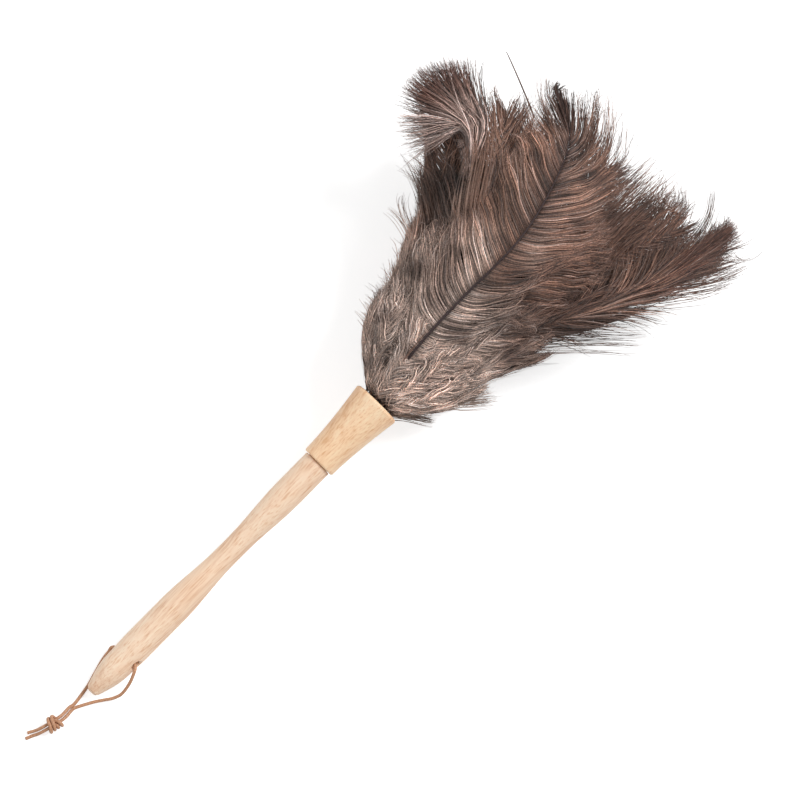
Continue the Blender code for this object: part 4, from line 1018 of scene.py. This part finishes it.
def make_plume(plume, hero, materials):
    """One feather as one mesh: its barbs, its single hairs and its shaft."""
    kind = plume.name if plume.name in FAMILIES else plume.name[:-3]
    seed = SEED + sum(ord(letter) * (place + 1) for place, letter in enumerate(plume.name))
    rng = np.random.RandomState(seed)
    barbs = Barbs(plume, kind, hero, rng)
    count = len(barbs.line)
    roll = rng.normal(0.0, 0.5, count)[:, None] * np.ones(POINTS)[None, :]
    verts, quads, caps = strand_arrays(barbs.line, barbs.outward, barbs.width, roll)
    uv_quads, uv_caps = strand_uv(count, POINTS)
    shaft, shaft_quads, shaft_ends = make_shaft(plume, kind)
    ends = np.concatenate(shaft_ends) + len(verts)
    shaft_colour = HERO_SHAFT if kind == "hero_plume" else mix(DARK, BROWN, 0.4)
    paint = np.concatenate([
        np.repeat(barbs.colour.reshape(-1, 3), 3, axis=0),
        np.repeat(shaft_colour[None, :], len(shaft), axis=0),
    ])
    paint = np.concatenate([paint, np.ones((len(paint), 1))], axis=1)
    quads = np.concatenate([quads, shaft_quads + len(verts)])
    strip = np.array([[0.001, 0.001], [0.001, 0.009], [0.999, 0.009], [0.999, 0.001]])
    end_uv = np.zeros((ends.size, 2)) + 0.005
    uv = np.concatenate([uv_quads, np.tile(strip, (len(shaft_quads), 1)), uv_caps, end_uv])
    verts = np.concatenate([verts, shaft]) + np.array(SHIFT)
    item = new_mesh_object(plume.name + "_barbs", verts, [quads, caps, ends], paint, uv)
    item.data.materials.append(materials[SLOTS[kind]])
    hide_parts(plume.name)
    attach(item, "root")


# Lace: a round leather thong in two halves, from the middle of the cross-hole to the tails, tied together in
# an overhand knot. The route's origin is on the table under the tip of the butt.

LACE_DIAMETER = 0.0022
LACE_SIDES = 14
LACE_STEPS = 6
LEFT_LACE_POINTS = (
    (0.0326, 0.00014, 0.01144), (0.0325, 0.0030, 0.0101), (0.0322, 0.0062, 0.0086),
    (0.0313, 0.0093, 0.0070), (0.0293, 0.0111, 0.0058), (0.0263, 0.0105, 0.0048),
    (0.0225, 0.0101, 0.0041), (0.0180, 0.0092, 0.0032), (0.0130, 0.0078, 0.0023),
    (0.0080, 0.0064, 0.0017), (0.0020, 0.0046, 0.0012), (-0.0059, 0.0032, 0.00115),
)
RIGHT_LACE_POINTS = (
    (0.0326, -0.00014, 0.01156), (0.0325, -0.0030, 0.0130), (0.0323, -0.0061, 0.0144),
    (0.0309, -0.0091, 0.0157), (0.0276, -0.0112, 0.0156), (0.0208, -0.0139, 0.0115),
    (0.0129, -0.0150, 0.0071), (0.0071, -0.0131, 0.0040), (0.0015, -0.0092, 0.0022),
    (-0.0040, -0.0055, 0.0014),
)

# Overhand knot of both halves: towards the tails, to the left and up, from the knot's own centre. The pair
# runs in through the middle, turns once and a half round itself and runs out through the middle.
KNOT_PLACE = (-0.0310, 0.0032, 0.0055)
KNOT_TURN = math.radians(14.0)
LEFT_KNOT_POINTS = (
    (-0.0176, 0.0035, -0.0043), (-0.0137, 0.0033, -0.0043), (-0.0097, 0.0021, -0.0034),
    (-0.0066, 0.0014, -0.0020), (-0.0035, 0.0013, -0.0013), (-0.0004, 0.0013, -0.0013),
    (0.0015, 0.0008, -0.0015), (0.0030, -0.0007, -0.0018), (0.0037, -0.0023, -0.0019),
    (0.0041, -0.0037, -0.0010), (0.0040, -0.0044, 0.0010), (0.0034, -0.0031, 0.0033),
    (0.0026, 0.0000, 0.0043), (0.0020, 0.0032, 0.0032), (0.0013, 0.0043, 0.0000),
    (0.0007, 0.0032, -0.0032), (0.0000, 0.0001, -0.0043), (-0.0006, -0.0025, -0.0036),
    (-0.0012, -0.0041, -0.0015), (-0.0014, -0.0041, 0.0003), (-0.0012, -0.0029, 0.0014),
    (-0.0007, -0.0018, 0.0014), (0.0004, -0.0013, 0.0013), (0.0037, -0.0013, 0.0013),
    (0.0077, -0.0012, 0.0004), (0.0121, -0.0008, -0.0024), (0.0160, 0.0001, -0.0042),
    (0.0205, 0.0008, -0.0043),
)
RIGHT_KNOT_POINTS = (
    (-0.0172, 0.0010, -0.0043), (-0.0137, 0.0007, -0.0043), (-0.0097, -0.0006, -0.0034),
    (-0.0066, -0.0012, -0.0020), (-0.0035, -0.0013, -0.0013), (-0.0004, -0.0013, -0.0013),
    (0.0007, -0.0018, -0.0014), (0.0012, -0.0029, -0.0014), (0.0014, -0.0041, -0.0003),
    (0.0012, -0.0041, 0.0015), (0.0006, -0.0025, 0.0036), (0.0000, 0.0001, 0.0043),
    (-0.0007, 0.0032, 0.0032), (-0.0013, 0.0043, 0.0000), (-0.0020, 0.0032, -0.0032),
    (-0.0026, 0.0000, -0.0043), (-0.0034, -0.0031, -0.0033), (-0.0040, -0.0044, -0.0010),
    (-0.0041, -0.0037, 0.0010), (-0.0037, -0.0023, 0.0019), (-0.0030, -0.0007, 0.0018),
    (-0.0015, 0.0008, 0.0015), (0.0004, 0.0013, 0.0013), (0.0037, 0.0013, 0.0013),
    (0.0077, 0.0014, 0.0004), (0.0121, 0.0019, -0.0024), (0.0155, 0.0029, -0.0042),
    (0.0176, 0.0034, -0.0043),
)


def place_in_knot(point):
    """From the knot's own directions to the table: towards the tails is -X and left is +Y."""
    turned_x = -point.x * math.cos(KNOT_TURN) + point.y * math.sin(KNOT_TURN)
    turned_y = point.x * math.sin(KNOT_TURN) + point.y * math.cos(KNOT_TURN)
    return Vector((turned_x, turned_y, point.z)) + Vector(KNOT_PLACE)


def make_lace(name, route, knot, material):
    """One half of the lace, from the middle of the hole through the knot to its tail."""
    butt = SHIFT - Vector((STICK_LENGTH * math.cos(HANDLE_TILT), 0.0, 0.0))
    points = [butt + Vector(point) for point in route]
    points += [butt + place_in_knot(Vector(point)) for point in knot]
    line = smooth_line(points, LACE_STEPS)
    radius = LACE_DIAMETER / 2 * (1.0 + 0.03 * np.sin(np.arange(len(line)) * 0.11))
    verts, quads, ends = tube_arrays(line, radius, LACE_SIDES)
    item = new_mesh_object(name + "_leather", verts, [quads, np.concatenate(ends)])
    item.data.materials.append(material)
    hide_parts(name)
    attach(item, "root")


# Materials

BUMP_DISTANCE = 0.0002


def start_material(name):
    """A new material, its node tree, its shader and the place on the object."""
    material = bpy.data.materials.new(name)
    material.use_nodes = True
    tree = material.node_tree
    place = tree.nodes.new("ShaderNodeTexCoord").outputs["Object"]
    return material, tree, tree.nodes["Principled BSDF"], place


def add_node(tree, kind, operation=None, **values):
    """A new node; values are its inputs' own values, with _ for a space in an input's name."""
    node = tree.nodes.new("ShaderNode" + kind)
    if operation:
        node.operation = operation
    for name, value in values.items():
        node.inputs[name.replace("_", " ")].default_value = value
    return node


def add_noise(tree, place, scale, detail):
    noise = add_node(tree, "TexNoise", Scale=scale, Detail=detail)
    tree.links.new(place, noise.inputs["Vector"])
    return noise.outputs["Fac"]


def add_ramp(tree, source, stops):
    ramp = add_node(tree, "ValToRGB")
    elements = ramp.color_ramp.elements
    for index, (position, colour) in enumerate(stops):
        while len(elements) <= index:
            elements.new(position)
        elements[index].position = position
        elements[index].color = (*linear(*colour), 1.0)
    tree.links.new(source, ramp.inputs["Fac"])
    return ramp.outputs["Color"]


def add_bump(tree, source, shader, strength):
    bump = add_node(tree, "Bump", Strength=strength, Distance=BUMP_DISTANCE)
    tree.links.new(source, bump.inputs["Height"])
    tree.links.new(bump.outputs["Normal"], shader.inputs["Normal"])


def grainy_material(name, scale, stops, roughness, bump_strength):
    """A material with a fine even grain, for leather and thread."""
    material, tree, shader, place = start_material(name)
    noise = add_noise(tree, place, scale, 4.0)
    tree.links.new(add_ramp(tree, noise, stops), shader.inputs["Base Color"])
    add_bump(tree, noise, shader, bump_strength)
    shader.inputs["Roughness"].default_value = roughness
    return material


# Wood grain from broad to fine: scale along and across the stick, and detail
WOOD_BANDS = ((5.0, 90.0, 90.0), 2.0)
WOOD_LINES = ((9.0, 640.0, 640.0), 3.0)
WOOD_PORES = ((13.0, 1200.0, 1200.0), 2.0)
PORE_STOPS = ((0.33, (240, 224, 210)), (0.47, (255, 255, 255)))


def wood_material(name, light, middle, dark, roughness):
    """Straight grain along the stick: broad soft bands, fine lines and thin darker pores."""
    material, tree, shader, place = start_material(name)
    layers = []
    for scale, detail in (WOOD_BANDS, WOOD_LINES, WOOD_PORES):
        mapping = add_node(tree, "Mapping", Rotation=(0.0, HANDLE_TILT, 0.0), Scale=scale)
        tree.links.new(place, mapping.inputs["Vector"])
        layers.append(add_noise(tree, mapping.outputs["Vector"], 1.0, detail))
    bands, lines, pores = layers
    blend = add_node(tree, "Mix", Factor=0.45)
    tree.links.new(bands, blend.inputs["A"])
    tree.links.new(lines, blend.inputs["B"])
    grain = add_ramp(tree, blend.outputs["Result"], ((0.34, dark), (0.5, middle), (0.64, light)))
    tint = add_node(tree, "VectorMath", "MULTIPLY")
    tree.links.new(grain, tint.inputs[0])
    tree.links.new(add_ramp(tree, pores, PORE_STOPS), tint.inputs[1])
    tree.links.new(tint.outputs["Vector"], shader.inputs["Base Color"])
    add_bump(tree, pores, shader, 0.12)
    shader.inputs["Roughness"].default_value = roughness
    return material


def barb_material(name):
    """The barbs' painted colour, with its painted light and shade, mottled finely along and across them,
    with a soft sheen.
    """
    material, tree, shader, place = start_material(name)
    paint = add_node(tree, "Attribute")
    paint.attribute_name = "paint"
    mottle = add_node(tree, "MapRange", From_Min=0.3, From_Max=0.7, To_Min=0.64, To_Max=1.32)
    tree.links.new(add_noise(tree, place, 900.0, 3.0), mottle.inputs["Value"])
    colour = add_node(tree, "VectorMath", "SCALE")
    tree.links.new(paint.outputs["Color"], colour.inputs[0])
    tree.links.new(mottle.outputs["Result"], colour.inputs["Scale"])
    tree.links.new(colour.outputs["Vector"], shader.inputs["Base Color"])
    shader.inputs["Roughness"].default_value = 0.62
    shader.inputs["Specular IOR Level"].default_value = 0.3
    shader.inputs["Sheen Weight"].default_value = 0.15
    shader.inputs["Sheen Roughness"].default_value = 0.5
    return material


def dress(node, material):
    """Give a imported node's object a material of its own."""
    item = bpy.data.objects[node]
    item.data.materials.clear()
    item.data.materials.append(material)


LEATHER = grainy_material(
    "lace_leather", 900.0, ((0.3, (172, 122, 90)), (0.5, (194, 144, 110)), (0.7, (208, 160, 126))), 0.5, 0.2,
)
THREAD = grainy_material(
    "thread", 1500.0, ((0.3, (92, 78, 62)), (0.5, (116, 98, 78)), (0.7, (138, 118, 94))), 0.8, 0.5,
)
HANDLE_WOOD = wood_material("handle_wood", (253, 228, 202), (249, 217, 188), (228, 184, 150), 0.5)
COLLAR_WOOD = wood_material("collar_wood", (255, 226, 190), (252, 214, 175), (228, 176, 130), 0.45)
DOWEL_WOOD = wood_material("dowel_wood", (226, 196, 156), (214, 180, 140), (196, 158, 118), 0.6)

# Floor and light

FLOOR_HALF = 3.0
FLOOR_GREY = 0.75
FLOOR_GLOW = 0.64
SKY_LIGHT = 0.36
SKY_SEEN = 1.0

# Lamps: turn in degrees, strength, spread in degrees
LAMPS = {
    "key": ((40.0, 0.0, 75.0), 2.20, 20.0),
    "fill": ((50.0, 0.0, 230.0), 0.7, 60.0),
}


def make_floor():
    """A pale floor that takes the object's shadow and glows only to the camera and to reflections."""
    half = FLOOR_HALF
    verts = [(-half, -half, 0.0), (half, -half, 0.0), (half, half, 0.0), (-half, half, 0.0)]
    floor = new_mesh_object("floor", verts, [np.array([[0, 1, 2, 3]])], smooth=False)
    material = bpy.data.materials.new("floor")
    material.use_nodes = True
    tree = material.node_tree
    tree.nodes.remove(tree.nodes["Principled BSDF"])
    diffuse = add_node(tree, "BsdfDiffuse", Color=(FLOOR_GREY, FLOOR_GREY, FLOOR_GREY, 1.0))
    glow = add_node(tree, "Emission")
    rays = add_node(tree, "LightPath").outputs
    seen = rays["Is Camera Ray"]
    for ray in ("Is Glossy Ray", "Is Transmission Ray"):
        either = add_node(tree, "Math", "MAXIMUM")
        tree.links.new(seen, either.inputs[0])
        tree.links.new(rays[ray], either.inputs[1])
        seen = either.outputs[0]
    strength = add_node(tree, "Math", "MULTIPLY")
    strength.inputs[1].default_value = FLOOR_GLOW
    tree.links.new(seen, strength.inputs[0])
    tree.links.new(strength.outputs[0], glow.inputs["Strength"])
    both = add_node(tree, "AddShader")
    tree.links.new(diffuse.outputs[0], both.inputs[0])
    tree.links.new(glow.outputs[0], both.inputs[1])
    tree.links.new(both.outputs[0], tree.nodes["Material Output"].inputs["Surface"])
    floor.data.materials.append(material)


def make_light():
    """A soft sky, white where the camera sees it, and two wide lamps."""
    world = bpy.data.worlds.new("studio")
    bpy.context.scene.world = world
    world.use_nodes = True
    tree = world.node_tree
    plain = tree.nodes["Background"]
    plain.inputs["Color"].default_value = (1.0, 1.0, 1.0, 1.0)
    plain.inputs["Strength"].default_value = SKY_LIGHT
    seen = add_node(tree, "Background", Color=(1.0, 1.0, 1.0, 1.0), Strength=SKY_SEEN)
    choice = add_node(tree, "MixShader")
    tree.links.new(add_node(tree, "LightPath").outputs["Is Camera Ray"], choice.inputs[0])
    tree.links.new(plain.outputs[0], choice.inputs[1])
    tree.links.new(seen.outputs[0], choice.inputs[2])
    tree.links.new(choice.outputs[0], tree.nodes["World Output"].inputs["Surface"])
    for name, (turn, strength, spread) in LAMPS.items():
        data = bpy.data.lights.new(name, "SUN")
        data.energy = strength
        data.angle = math.radians(spread)
        lamp = bpy.data.objects.new(name, data)
        lamp.rotation_euler = [math.radians(angle) for angle in turn]
        bpy.context.scene.collection.objects.link(lamp)


# The whole scene: camera and cords first

make_camera()
make_lace("lace_left", LEFT_LACE_POINTS, LEFT_KNOT_POINTS, LEATHER)
make_lace("lace_right", RIGHT_LACE_POINTS, RIGHT_KNOT_POINTS, LEATHER)
dress("handle", HANDLE_WOOD)
dress("collar", COLLAR_WOOD)
dress("core_dowel", DOWEL_WOOD)
for binding in ("inner_binding", "middle_binding", "outer_binding"):
    dress(binding, THREAD)
BARB_MATERIALS = {name: barb_material(name) for name in sorted(set(SLOTS.values()))}
PLUMES = plan_plumes()
HERO = next(each for each in PLUMES if each.name == "hero_plume")
for each in PLUMES:
    make_plume(each, HERO, BARB_MATERIALS)
make_floor()
make_light()
bpy.context.scene.view_settings.view_transform = "Standard"
